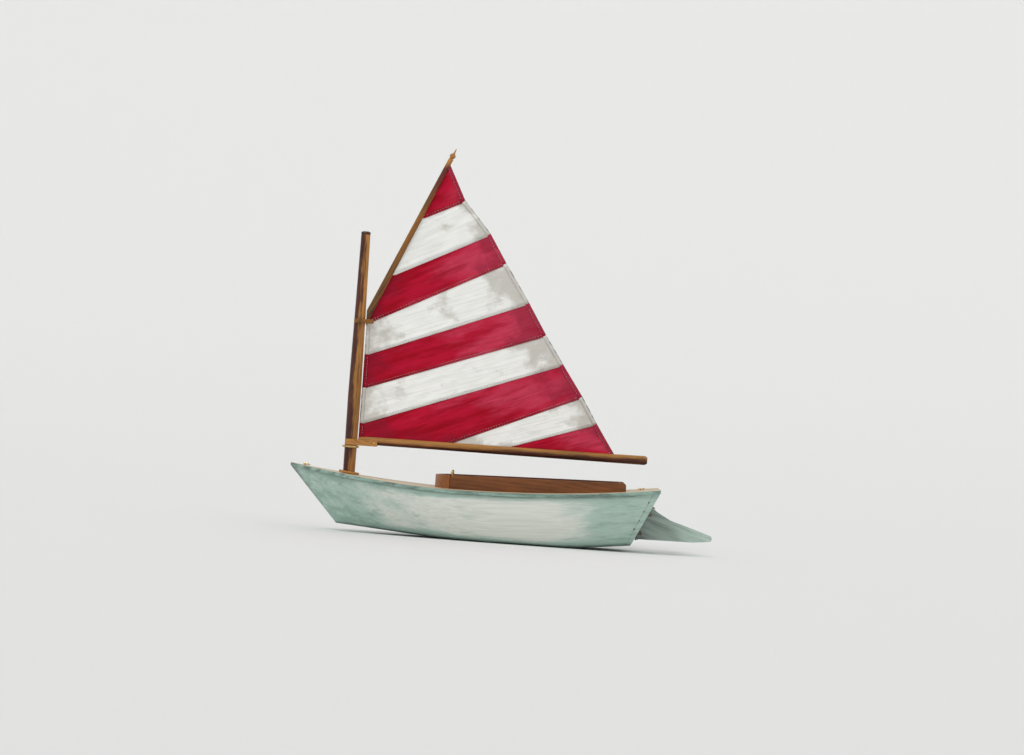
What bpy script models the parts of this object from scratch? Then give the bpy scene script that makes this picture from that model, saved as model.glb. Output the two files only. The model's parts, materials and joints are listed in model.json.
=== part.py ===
"""Gaff-rigged wooden toy sailing boat, built level, bow towards -X, port side towards -Y.

Drawing units are millimetres: x is measured aft from the tip of the bow, y to starboard and z up from
the flat of the bottom. finish() turns them into metres about the middle of the overall length.
"""

import bpy
import bmesh
import math
from mathutils import Matrix, Vector

# --- driving dimensions, in millimetres -------------------------------------------------------------
MM = 0.001
GAP = 0.3                       # clearance between pieces that touch
HULL_LENGTH = 300.0             # tip of the bow to the top of the transom
OVERALL_LENGTH = 345.5          # tip of the bow to the tail of the rudder
HALF_BEAM = 60.0                # widest place of the sheer
HALF_BEAM_X = 165.0
TRANSOM_HALF_BEAM = 48.0
STEM_HALF_WIDTH = 1.5
STEM_FOOT_X = 40.0
TRANSOM_FOOT_X = 279.0
SHEER_LOW = 41.0                # height of the sheer at its lowest place
SHEER_LOW_X = 130.0
BOW_HEIGHT = 52.8
TRANSOM_HEIGHT = 52.2
STEM_FOOT_HEIGHT = 6.2
TRANSOM_FOOT_HEIGHT = 5.4
FLAT_START_X = 135.0            # the bottom is dead flat between these two
FLAT_END_X = 225.0
FLOOR_HALF_WIDTH = 34.0         # flat of the bottom, across
BILGE_ANGLE = math.radians(72.0)
WALL = 3.0                      # hull planking
TRANSOM_BOARD = 4.2             # transom board's thickness, along the hull
KEEL_RUN = TRANSOM_FOOT_X - STEM_FOOT_X
TRANSOM_FORE = 1 - TRANSOM_BOARD / KEEL_RUN      # shares of the hull's length
HULL_AFT = TRANSOM_FORE - GAP / KEEL_RUN
DECK_THICKNESS = 2.0
HOLLOW_START = 0.04             # the bow is solid wood in front of this share of the length

COAMING_START_X = 118.0
COAMING_CORNER_X = 130.0
COAMING_END_X = 272.4
COAMING_TOP_START = 51.7
COAMING_TOP_END = 55.5
COAMING_THICKNESS = 2.6
COAMING_DEPTH = 7.0             # how far the boards reach below the deck's top
COCKPIT_HALF_WIDTH = 28.0
COCKPIT_BOW = 3.5               # how far the side boards bow outwards at their middle

MAST_X = 47.5
MAST_TOP = 241.5
MAST_HEEL = 22.0
MAST_PROFILE = ((4.7, 27.4), (4.8, 47.0), (5.2, 110.0), (4.6, 173.0), (3.8, 236.0))

BOOM_Z = 74.5
BOOM_END_X = 288.6
BOOM_RADIUS = 3.3
GAFF_FOOT = Vector((52.5, 0.0, 173.0))
GAFF_TIP = Vector((116.0, 0.0, 316.0))
GAFF_RADIUS = 2.75
GAFF_TIP_RADIUS = 2.0
GROOVE_HALF_WIDTH = 0.65        # saw cut in both spars that grips the sail
SAIL_HALF_THICKNESS = 0.3
SAIL_BELLY = 4.0
LUFF_X = 54.4
SAIL_FOOT_Z = BOOM_Z + 2.0
HEAD_OFFSET = 1.4               # sail's head behind the gaff's axis
PEAK_Z = 303.0
CLEW_X = 262.0
JAW_CLEARANCE = 0.6
JAW_WRAP = math.radians(128.0)

# each seam of the sail: its end at the luff, gaff or boom, then its end at the leech
SEAMS = (
    ((93.7, 258.0), (126.0, 275.0)),
    ((74.0, 210.0), (148.5, 249.5)),
    ((55.8, 170.0), (163.0, 226.5)),
    ((55.0, 144.3), (183.6, 195.8)),
    ((55.0, 117.2), (199.3, 170.6)),
    ((55.0, 88.3), (214.7, 147.9)),
    ((124.0, 80.7), (232.3, 122.7)),
    ((168.7, 78.0), (245.3, 101.8)),
)

RUDDER_AXIS_OFFSET = 2.3        # hinge axis behind the transom's face
RUDDER_HALF_THICKNESS = 1.7
RUDDER_RANGE = (6.6, 35.2)      # blade's leading edge, along the hinge axis
RUDDER_ROD_RADIUS = 0.65
BORE_RADIUS = 1.0
GUDGEONS = (12.3, 29.3)         # middle of each gudgeon, along the hinge axis
GUDGEON_HALF_HEIGHT = 1.5

TRUNK_X = (148.0, 222.0)
TRUNK_TOP = 33.0
SLOT_HALF_WIDTH = 1.8
TRUNK_BOARD = 2.0
BOARD_PIVOT = Vector((155.0, 0.0, 9.0))
BOARD_HALF_THICKNESS = 1.3

SOLE_Z = 9.0
ROUND = 16                      # sides of a small round piece


# --- materials --------------------------------------------------------------------------------------
def material(name, color, roughness, metallic=0.0):
    made = bpy.data.materials.new(name)
    made.use_nodes = True
    shader = made.node_tree.nodes["Principled BSDF"]
    shader.inputs["Base Color"].default_value = (*color, 1.0)
    shader.inputs["Roughness"].default_value = roughness
    shader.inputs["Metallic"].default_value = metallic
    return made


# --- helpers ----------------------------------------------------------------------------------------
def clear_scene():
    for thing in list(bpy.data.objects):
        bpy.data.objects.remove(thing, do_unlink=True)


def lerp(start, end, share):
    return start + (end - start) * share


def world(point):
    """Drawing millimetres to metres in the part's own frame."""
    return Vector((point[0] - OVERALL_LENGTH / 2, point[1], point[2])) * MM


def pivot_empty(name, point):
    empty = bpy.data.objects.new(name, None)
    empty.location = world(point)
    bpy.context.collection.objects.link(empty)
    return empty


def finish(bm, name, skin=None, parent=None, smooth=None):
    """Close a bmesh drawn in millimetres into a named object, hung on a pivot where it moves."""
    bmesh.ops.remove_doubles(bm, verts=bm.verts, dist=0.001)
    bmesh.ops.recalc_face_normals(bm, faces=bm.faces)
    origin = parent.location if parent else Vector((0, 0, 0))
    for vert in bm.verts:
        vert.co = world(vert.co) - origin
    mesh = bpy.data.meshes.new(name)
    bm.to_mesh(mesh)
    bm.free()
    if smooth is not None:
        mesh.shade_smooth()
        mesh.set_sharp_from_angle(angle=math.radians(smooth))
    if skin:
        mesh.materials.append(skin)
    made = bpy.data.objects.new(name, mesh)
    bpy.context.collection.objects.link(made)
    if parent:
        made.parent = parent
    return made


def combine(target, operation, tool):
    tool.hide_render = True
    tool.display_type = "WIRE"
    step = target.modifiers.new(tool.name, "BOOLEAN")
    step.operation = operation
    step.object = tool
    step.solver = "EXACT"


def cut(target, *tools):
    for tool in tools:
        combine(target, "DIFFERENCE", tool)


def join(target, *tools):
    for tool in tools:
        combine(target, "UNION", tool)


def loft(rings):
    """A closed body through rings that all have the same number of points."""
    bm = bmesh.new()
    rows = [[bm.verts.new(point) for point in ring] for ring in rings]
    count = len(rows[0])
    for row, following in zip(rows, rows[1:]):
        for i in range(count):
            j = (i + 1) % count
            bm.faces.new((row[i], row[j], following[j], following[i]))
    bm.faces.new(rows[0])
    bm.faces.new(reversed(rows[-1]))
    return bm


def strip(stations, inner, outer, bottom, top):
    """A plank along x with its four edges given as functions of x."""
    rings = []
    for x in stations:
        rings.append(((x, inner(x), bottom(x)), (x, outer(x), bottom(x)),
                      (x, outer(x), top(x)), (x, inner(x), top(x))))
    return loft(rings)


def stations(start, end, count):
    return [lerp(start, end, i / count) for i in range(count + 1)]


def block(x_range, y_range, z_range):
    bm = bmesh.new()
    bmesh.ops.create_cube(bm, size=1.0)
    for vert in bm.verts:
        vert.co.x = x_range[0] if vert.co.x < 0 else x_range[1]
        vert.co.y = y_range[0] if vert.co.y < 0 else y_range[1]
        vert.co.z = z_range[0] if vert.co.z < 0 else z_range[1]
    return bm


def bevelled(bm, width):
    bmesh.ops.bevel(bm, geom=bm.edges[:], offset=width, affect="EDGES", segments=1,
                    profile=0.5, material=-1)
    return bm


def turned(profile, start, direction, sides=ROUND):
    """Spin (radius, distance) pairs about a line; the ends close on the axis."""
    bm = bmesh.new()
    full = [(0.0, profile[0][1]), *profile, (0.0, profile[-1][1])]
    verts = [bm.verts.new((radius, 0, along)) for radius, along in full]
    edges = [bm.edges.new(pair) for pair in zip(verts, verts[1:])]
    bmesh.ops.spin(bm, geom=verts + edges, cent=(0, 0, 0), axis=(0, 0, 1), dvec=(0, 0, 0),
                   angle=math.tau, steps=sides, use_merge=True)
    bmesh.ops.remove_doubles(bm, verts=bm.verts, dist=0.001)
    turn = Vector((0, 0, 1)).rotation_difference(Vector(direction).normalized())
    bm.transform(Matrix.Translation(start) @ turn.to_matrix().to_4x4())
    return bm


def rod(start, end, radius, sides=ROUND):
    start, end = Vector(start), Vector(end)
    return turned(((radius, 0.0), (radius, (end - start).length)), start, end - start, sides)


def ring(center, direction, inner, outer, height, sides=24):
    """A flat collar with a square section."""
    bm = bmesh.new()
    corners = ((inner, 0.0), (outer, 0.0), (outer, height), (inner, height))
    verts = [bm.verts.new((radius, 0, along)) for radius, along in corners]
    edges = [bm.edges.new((verts[i], verts[(i + 1) % 4])) for i in range(4)]
    bmesh.ops.spin(bm, geom=verts + edges, cent=(0, 0, 0), axis=(0, 0, 1), dvec=(0, 0, 0),
                   angle=math.tau, steps=sides, use_merge=True)
    turn = Vector((0, 0, 1)).rotation_difference(Vector(direction).normalized())
    bm.transform(Matrix.Translation(center) @ turn.to_matrix().to_4x4())
    return bm


def torus(center, axis, major, minor, sides=14, tube=8):
    bm = bmesh.new()
    made = bmesh.ops.create_circle(bm, radius=minor, segments=tube, cap_ends=False)
    bmesh.ops.rotate(bm, verts=made["verts"], cent=(0, 0, 0), matrix=Matrix.Rotation(math.pi / 2, 3, "X"))
    bmesh.ops.translate(bm, verts=made["verts"], vec=(major, 0, 0))
    bmesh.ops.spin(bm, geom=bm.verts[:] + bm.edges[:], cent=(0, 0, 0), axis=(0, 0, 1), dvec=(0, 0, 0),
                   angle=math.tau, steps=sides, use_merge=True)
    turn = Vector((0, 0, 1)).rotation_difference(Vector(axis).normalized())
    bm.transform(Matrix.Translation(center) @ turn.to_matrix().to_4x4())
    return bm


def plate(outline, low, high, normal="z"):
    """Extrude an outline: (x, y) points along z, or (x, z) points along y."""
    if normal == "z":
        rings = [[(a, b, level) for a, b in outline] for level in (low, high)]
    else:
        rings = [[(a, level, b) for a, b in outline] for level in (low, high)]
    return loft(rings)


# --- hull form --------------------------------------------------------------------------------------
def sheer_height(x):
    if x < SHEER_LOW_X:
        return SHEER_LOW + (BOW_HEIGHT - SHEER_LOW) * ((SHEER_LOW_X - x) / SHEER_LOW_X) ** 1.6
    share = (x - SHEER_LOW_X) / (HULL_LENGTH - SHEER_LOW_X)
    return SHEER_LOW + (TRANSOM_HEIGHT - SHEER_LOW) * share ** 2.2


def keel_height(x):
    if x < FLAT_START_X:
        return STEM_FOOT_HEIGHT * ((FLAT_START_X - x) / (FLAT_START_X - STEM_FOOT_X)) ** 1.1
    if x > FLAT_END_X:
        return TRANSOM_FOOT_HEIGHT * ((x - FLAT_END_X) / (TRANSOM_FOOT_X - FLAT_END_X)) ** 1.1
    return 0.0


def half_beam(x):
    if x < HALF_BEAM_X:
        share = 1 - (1 - max(x, 0.0) / HALF_BEAM_X) ** 2.2
        return lerp(STEM_HALF_WIDTH, HALF_BEAM, share)
    share = (x - HALF_BEAM_X) / (HULL_LENGTH - HALF_BEAM_X)
    return HALF_BEAM - (HALF_BEAM - TRANSOM_HALF_BEAM) * share ** 2


def floor_half_width(u):
    if u < 0.6:
        share = u / 0.6
        return lerp(STEM_HALF_WIDTH, FLOOR_HALF_WIDTH, share * share * (3 - 2 * share))
    return FLOOR_HALF_WIDTH - 8.0 * ((u - 0.6) / 0.4) ** 2


def slanted_section(u, inset=0.0):
    """Where section u of the hull stands: its low and high ends, and its two half widths."""
    low = Vector((lerp(STEM_FOOT_X, TRANSOM_FOOT_X, u), 0.0, 0.0))
    low.z = keel_height(low.x)
    high = Vector((HULL_LENGTH * u, 0.0, 0.0))
    high.z = sheer_height(high.x) - DECK_THICKNESS - GAP
    floor = max(floor_half_width(u) - inset * 0.7, 0.4)
    beam = max(half_beam(high.x) - inset, floor + 0.2)
    return low, high, floor, beam


def skin_point(u, turn, inset=0.0):
    """A point of the hull's side; turn runs from 0 at the floor's edge to 1 at the sheer."""
    low, high, floor, beam = slanted_section(u, inset)
    angle = turn * BILGE_ANGLE
    y = lerp(floor, beam, math.sin(angle) / math.sin(BILGE_ANGLE))
    z = lerp(low.z + inset, high.z, (1 - math.cos(angle)) / (1 - math.cos(BILGE_ANGLE)))
    x = lerp(low.x, high.x, (z - low.z) / (high.z - low.z))
    return Vector((x, y, z))


def half_width(x, z, inset=0.0):
    """The hull's half width at a place, found by closing in on the section that passes there."""
    fore, aft = 0.0, 1.1
    for _ in range(30):
        u = (fore + aft) / 2
        low, high, _floor, _beam = slanted_section(u)
        if lerp(low.x, high.x, (z - low.z) / (high.z - low.z)) < x:
            fore = u
        else:
            aft = u
    low, high, floor, beam = slanted_section(u, inset)
    rise = min(max((z - low.z - inset) / (high.z - low.z - inset), 0.0), 1.0)
    angle = math.acos(1 - rise * (1 - math.cos(BILGE_ANGLE)))
    return lerp(floor, beam, math.sin(angle) / math.sin(BILGE_ANGLE))


def hull_ring(u, turns, inset=0.0, above=0.0):
    side = [skin_point(u, i / turns, inset) for i in range(turns + 1)]
    if above:
        side.append(side[-1] + Vector((0, 0, above)))
    port = [Vector((p.x, -p.y, p.z)) for p in reversed(side)]
    return port + side


def hull_shell(paint):
    shares = [(i / 24) ** 1.25 * HULL_AFT for i in range(25)]
    body = finish(loft([hull_ring(u, 9) for u in shares]), "hull_shell", paint, smooth=35)
    inside = [lerp(HOLLOW_START, 1.03, i / 20) for i in range(21)]
    hollow = finish(loft([hull_ring(u, 8, WALL, 6.0) for u in inside]), "hull_hollow_cutter")
    slot_x = (TRUNK_X[0] + TRUNK_BOARD + 1.0, TRUNK_X[1] - TRUNK_BOARD - 1.0)
    slot = finish(block(slot_x, (-SLOT_HALF_WIDTH, SLOT_HALF_WIDTH), (-5, 8)), "board_slot_cutter")
    cut(body, hollow, slot)


def transom_board(paint):
    rings = [hull_ring(u, 9) for u in (TRANSOM_FORE, 1.0)]
    finish(loft(rings), "transom_board", paint, smooth=35)


# --- deck, rails and coaming ------------------------------------------------------------------------
def coaming_half_width(x):
    share = (x - COAMING_CORNER_X) / (COAMING_END_X - COAMING_CORNER_X)
    return COCKPIT_HALF_WIDTH + COCKPIT_BOW * math.sin(math.pi * min(max(share, 0.0), 1.0))


def coaming_top(x):
    share = (x - COAMING_START_X) / (COAMING_END_X - COAMING_START_X)
    return lerp(COAMING_TOP_START, COAMING_TOP_END, share)


def coaming_arc(radius_change, clearance=0.0, steps=12):
    """Plan of the bent front board, from port to starboard."""
    reach = COCKPIT_HALF_WIDTH + COAMING_THICKNESS
    depth = COAMING_CORNER_X - COAMING_START_X
    radius = (reach * reach + depth * depth) / (2 * depth)
    middle = COAMING_START_X + radius
    limit = math.asin(reach / radius) - clearance / radius
    points = []
    for i in range(steps + 1):
        angle = lerp(-limit, limit, i / steps)
        points.append((middle - (radius + radius_change) * math.cos(angle),
                       (radius + radius_change) * math.sin(angle)))
    return points


def deck(wood):
    rings = []
    for x in stations(0.0, HULL_LENGTH, 40):
        top, edge = sheer_height(x), half_beam(x)
        rings.append(((x, -edge, top - DECK_THICKNESS), (x, edge, top - DECK_THICKNESS),
                      (x, edge, top), (x, -edge, top)))
    board = finish(loft(rings), "deck", wood)
    outline = coaming_arc(GAP)
    sides = stations(COAMING_CORNER_X, COAMING_END_X, 10)
    outline += [(x, coaming_half_width(x) + COAMING_THICKNESS + GAP) for x in sides[1:-1]]
    outline.append((COAMING_END_X + GAP, COCKPIT_HALF_WIDTH + COAMING_THICKNESS + GAP))
    outline.append((COAMING_END_X + GAP, -COCKPIT_HALF_WIDTH - COAMING_THICKNESS - GAP))
    outline += [(x, -coaming_half_width(x) - COAMING_THICKNESS - GAP) for x in reversed(sides[1:-1])]
    opening = finish(plate(outline, 30, 60), "cockpit_cutter")
    mast_hole = finish(rod((MAST_X, 0, 40), (MAST_X, 0, 55), 5.3, 24), "mast_hole_cutter")
    cut(board, opening, mast_hole)


def rails(paint):
    for side, name in ((-1, "rail_port"), (1, "rail_starboard")):
        bm = strip(stations(0.0, HULL_LENGTH, 30),
                   lambda x: side * (half_beam(x) + GAP),
                   lambda x: side * (half_beam(x) + GAP + 1.5),
                   lambda x: sheer_height(x) - 2.9,
                   lambda x: sheer_height(x) - 0.1)
        finish(bm, name, paint)


def rounded_end(x, start, end, radius):
    """How far a plank's top drops near its two ends."""
    near = min(x - start, end - x)
    if near >= radius:
        return 0.0
    return radius - math.sqrt(max(radius * radius - (radius - near) ** 2, 0.0))


def coaming(wood, brass):
    inner, outer = coaming_arc(-COAMING_THICKNESS), coaming_arc(0.0)
    rings = []
    for (xi, yi), (xo, yo) in zip(inner, outer):
        low = sheer_height(xo) - COAMING_DEPTH
        rings.append(((xi, yi, low), (xo, yo, low), (xo, yo, coaming_top(xo)), (xi, yi, coaming_top(xi))))
    board = finish(loft(rings), "coaming_fore", wood, smooth=35)
    square_end = block((COAMING_CORNER_X, COAMING_CORNER_X + 20), (-50, 50), (20, 70))
    cut(board, finish(square_end, "coaming_end_cutter"))
    start = COAMING_CORNER_X + GAP
    radius = 2.5
    ends = [0.0, 0.4, 1.2, 2.5]
    xs = [start + d for d in ends] + stations(start + 12, COAMING_END_X - 12, 10)
    xs += [COAMING_END_X - d for d in reversed(ends)]
    for side, name in ((-1, "coaming_port"), (1, "coaming_starboard")):
        bm = strip(xs, lambda x: side * coaming_half_width(x),
                   lambda x: side * (coaming_half_width(x) + COAMING_THICKNESS),
                   lambda x: sheer_height(x) - COAMING_DEPTH,
                   lambda x: coaming_top(x) - rounded_end(x, start, COAMING_END_X, radius))
        finish(bm, name, wood, smooth=35)
        post = (COAMING_CORNER_X + 1.6, side * (COCKPIT_HALF_WIDTH - 1.6))
        top = coaming_top(post[0])
        bm = turned(((1.1, 0.0), (1.1, top + 1.6 - 36), (0.7, top + 3.4 - 36)), (*post, 36.0), (0, 0, 1), 10)
        finish(bm, name.replace("coaming", "coaming_pin"), brass, smooth=35)
    aft = (COAMING_END_X - 5.4, COAMING_END_X - 2.8)
    reach = COCKPIT_HALF_WIDTH - GAP
    low = sheer_height(aft[0]) - COAMING_DEPTH
    finish(block(aft, (-reach, reach), (low, COAMING_TOP_END - 0.8)), "coaming_aft", wood)


def deck_beams(wood):
    for name, x_range in (("beam_mast", (60.0, 64.0)), ("beam_fore", (110.5, 115.0)),
                          ("beam_aft", (275.0, 279.0))):
        top = min(sheer_height(x) for x in x_range) - DECK_THICKNESS - GAP
        low = top - 5.0
        reach = min(half_width(x, low, WALL) for x in x_range) - GAP - 0.2
        finish(block(x_range, (-reach, reach), (low, top)), name, wood)
    for side, name in ((-1, "carlin_port"), (1, "carlin_starboard")):
        off = COAMING_THICKNESS + GAP
        bm = strip(stations(COAMING_CORNER_X + 2, 274.5, 12),
                   lambda x: side * (coaming_half_width(x) + off),
                   lambda x: side * (coaming_half_width(x) + off + 3.0),
                   lambda x: sheer_height(x) - DECK_THICKNESS - GAP - 4.0,
                   lambda x: sheer_height(x) - DECK_THICKNESS - GAP)
        finish(bm, name, wood)


# --- inside the hull --------------------------------------------------------------------------------
def floor(wood, iron):
    for name, x_range in (("floor_timber_fore", (139.0, 143.0)), ("floor_timber_aft", (225.0, 229.0))):
        low = max(keel_height(x) for x in x_range) + WALL + 2 * GAP
        reach = min(half_width(x, low, WALL) for x in x_range) - 2.0
        finish(block(x_range, (-reach, reach), (low, SOLE_Z - GAP)), name, wood)
    for side, word in ((-1, "port"), (1, "starboard")):
        near, far = sorted((side * 7.0, side * 22.0))
        bm = block((150.0, 218.0), (near, far), (WALL + GAP, 8.0))
        finish(bevelled(bm, 0.8), f"ballast_{word}", iron)
        near, far = sorted((side * 5.2, side * 26.6))
        finish(block((133.5, 262.0), (near, far), (SOLE_Z, SOLE_Z + 1.5)), f"floorboard_{word}", wood)


def thwart(wood):
    x_range = (234.0, 250.0)
    low, top = 29.0, 31.6
    reach = min(half_width(x, low, WALL) for x in x_range) - 1.0
    finish(bevelled(block(x_range, (-reach, reach), (low, top)), 0.6), "thwart", wood)


def board_trunk(wood, brass):
    low = WALL + GAP
    pin_hole = finish(rod(BOARD_PIVOT - Vector((0, 9, 0)), BOARD_PIVOT + Vector((0, 9, 0)), 1.3, 12),
                      "pin_hole_cutter")
    for side, word in ((-1, "port"), (1, "starboard")):
        near, far = sorted((side * (SLOT_HALF_WIDTH + 0.2), side * (SLOT_HALF_WIDTH + 0.2 + TRUNK_BOARD)))
        body = finish(block(TRUNK_X, (near, far), (low, TRUNK_TOP)), f"trunk_side_{word}", wood)
        cut(body, pin_hole)
    for word, x_range in (("fore", (TRUNK_X[0], TRUNK_X[0] + TRUNK_BOARD)),
                          ("aft", (TRUNK_X[1] - TRUNK_BOARD, TRUNK_X[1]))):
        finish(block(x_range, (-SLOT_HALF_WIDTH + 0.1, SLOT_HALF_WIDTH - 0.1), (low, TRUNK_TOP)),
               f"trunk_post_{word}", wood)
    cap = finish(bevelled(block((TRUNK_X[0] - 2, TRUNK_X[1] + 2), (-5.6, 5.6),
                                (TRUNK_TOP + GAP, TRUNK_TOP + GAP + 2.0)), 0.5), "trunk_cap", wood)
    slot = finish(block((TRUNK_X[0] + 5, TRUNK_X[1] - 3), (-SLOT_HALF_WIDTH, SLOT_HALF_WIDTH),
                        (30, 40)), "cap_slot_cutter")
    cut(cap, slot)
    finish(rod(BOARD_PIVOT - Vector((0, 4.8, 0)), BOARD_PIVOT + Vector((0, 4.8, 0)), 0.9, 12),
           "board_pin", brass, smooth=35)


def centerboard(wood, pivot):
    nose = []
    for i in range(7):
        angle = math.radians(lerp(-90, -180, i / 6))
        nose.append((BOARD_PIVOT.x + 3.3 * math.cos(angle), BOARD_PIVOT.z + 3.3 * math.sin(angle)))
    outline = [*reversed(nose), (165.0, 1.2), (214.0, 1.2), (217.5, 4.5), (217.5, 24.0), (214.5, 27.0),
               (157.0, 27.0), (151.9, 20.0)]
    blade = finish(plate(outline, -BOARD_HALF_THICKNESS, BOARD_HALF_THICKNESS, "y"), "centerboard",
                   wood, pivot)
    hole = finish(rod(BOARD_PIVOT - Vector((0, 4, 0)), BOARD_PIVOT + Vector((0, 4, 0)), 1.35, 12),
                  "board_hole_cutter", None, pivot)
    cut(blade, hole)


# --- mast and its fittings --------------------------------------------------------------------------
def mast_radius(z):
    pairs = MAST_PROFILE
    for (r0, z0), (r1, z1) in zip(pairs, pairs[1:]):
        if z <= z1:
            return lerp(r0, r1, (z - z0) / (z1 - z0))
    return pairs[-1][0]


def mast(wood, dark_wood, brass):
    heel = 3.0
    profile = [(heel, MAST_HEEL), (heel, 27.4)]
    profile += [(mast_radius(z), z) for z in (27.4, 47.0, 68.0, 90.0, 110.0, 140.0, 173.0, 205.0, 236.0)]
    profile += [(3.7, MAST_TOP)]
    finish(turned(profile, (MAST_X, 0, 0), (0, 0, 1), 20), "mast", wood, smooth=35)
    cap = ((3.7, 0.0), (3.9, 0.7), (3.6, 1.7), (2.2, 2.3))
    finish(turned(cap, (MAST_X, 0, MAST_TOP + GAP), (0, 0, 1), 20), "mast_cap", dark_wood, smooth=50)
    x_range, low = (41.5, 53.5), 19.5
    reach = min(half_width(x, low, WALL) for x in x_range) - GAP
    step = finish(block(x_range, (-reach, reach), (low, 27.0)), "mast_step", dark_wood)
    cut(step, finish(rod((MAST_X, 0, 15), (MAST_X, 0, 30), 3.4), "mast_step_cutter"))
    slope = (sheer_height(MAST_X + 4) - sheer_height(MAST_X - 4)) / 8
    middle = (MAST_X, 0, sheer_height(MAST_X) + GAP + 0.1)
    finish(ring(middle, (-slope, 0, 1), 5.5, 8.4, 1.7), "mast_partner", dark_wood, smooth=35)
    finish(ring((MAST_X, 0, BOOM_Z - 6.4), (0, 0, 1), 5.4, 6.9, 1.7), "jaw_saddle", brass, smooth=35)


def screw_eye(name, foot, direction, ring_axis, brass, size=1.7):
    """A ring on a short round foot; foot is the point on the wood's surface."""
    foot, direction = Vector(foot), Vector(direction).normalized()
    stem = ((size * 0.75, GAP), (size * 0.75, GAP + 0.5), (size * 0.32, GAP + 0.6), (size * 0.32, GAP + 1.4))
    body = finish(turned(stem, foot, direction, 12), name, brass, smooth=35)
    center = foot + direction * (GAP + 1.0 + size)
    join(body, finish(torus(center, ring_axis, size, size * 0.3), name + "_ring_tool"))


def ring_bolt(name, x, brass):
    """A small ring that lies flat on the deck, hooked to a round stud."""
    slope = (sheer_height(x + 2) - sheer_height(x - 2)) / 4
    up = Vector((-slope, 0, 1)).normalized()
    foot = Vector((x, 0, sheer_height(x)))
    stud = ((1.5, GAP), (1.5, GAP + 0.4), (0.8, GAP + 0.5), (0.8, GAP + 1.3), (0.4, GAP + 1.6))
    body = finish(turned(stud, foot, up, 12), name, brass, smooth=35)
    center = foot + up * (GAP + 0.9) + Vector((up.z, 0, -up.x)) * 2.3
    join(body, finish(torus(center, up, 1.9, 0.45), name + "_ring_tool"))


def fittings(brass):
    ring_bolt("bow_eye", 11.0, brass)
    ring_bolt("sheet_eye", 284.0, brass)
    radius = mast_radius(232.0)
    screw_eye("masthead_eye", (MAST_X, radius, 232.0), (0, 1, 0), (1, 0, 0), brass, 1.4)
    foot_y = mast_radius(60.0) + GAP
    outline = ((52.5, 0.8), (54.0, 1.6), (58.6, 1.6), (58.6, 0.1), (61.4, 0.1), (61.4, 1.6), (66.0, 1.6),
               (67.5, 0.8), (66.0, 2.8), (54.0, 2.8))
    rings = [[(MAST_X + x, foot_y + 0.2 + y, z) for z, y in outline] for x in (-1.0, 1.0)]
    finish(loft(rings), "halyard_cleat", brass)


# --- boom, gaff and sail ----------------------------------------------------------------------------
def arc(center_x, radius, start, end, steps):
    points = []
    for i in range(steps + 1):
        angle = lerp(start, end, i / steps)
        points.append((center_x + radius * math.cos(angle), radius * math.sin(angle)))
    return points


def jaw(name, side, mast_r, spar_r, tail_x, z_range, wood, pivot):
    """One cheek of a spar's jaws, drawn in plan and extruded upwards."""
    inner = mast_r + JAW_CLEARANCE
    outer = inner + 2.2
    beside = spar_r + GAP
    start = math.asin(beside / inner)
    points = [(tail_x, beside)]
    points += arc(MAST_X, inner, start, JAW_WRAP, 8)
    points += arc(MAST_X, outer, JAW_WRAP, start + 0.25, 7)
    points += [(lerp(MAST_X + outer, tail_x, 0.4), beside + 2.1), (tail_x, beside + 0.9)]
    outline = [(x, side * y) for x, y in points]
    finish(plate(outline, *z_range), name, wood, pivot, smooth=35)


def boom(wood, pale_wood, pivot):
    start = MAST_X + mast_radius(BOOM_Z) + 0.7
    length = BOOM_END_X - start
    profile = ((2.7, 0.0), (BOOM_RADIUS, 8.0), (BOOM_RADIUS - 0.1, length * 0.6),
               (BOOM_RADIUS + 0.3, length - 12), (BOOM_RADIUS + 0.4, length - 2), (2.6, length))
    spar = finish(turned(profile, (start, 0, BOOM_Z), (1, 0, 0)), "boom", wood, pivot, 35)
    groove = block((40.0, CLEW_X + 2.0), (-GROOVE_HALF_WIDTH, GROOVE_HALF_WIDTH),
                   (BOOM_Z + 1.6, BOOM_Z + 8))
    cut(spar, finish(groove, "boom_groove_cutter", None, pivot))
    for side, word in ((-1, "port"), (1, "starboard")):
        jaw(f"boom_jaw_{word}", side, mast_radius(BOOM_Z), BOOM_RADIUS, 69.0,
            (BOOM_Z - 4.3, BOOM_Z + 0.6), pale_wood, pivot)


def gaff_axis_x(z):
    run = GAFF_TIP - GAFF_FOOT
    return GAFF_FOOT.x + (z - GAFF_FOOT.z) * run.x / run.z


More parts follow.
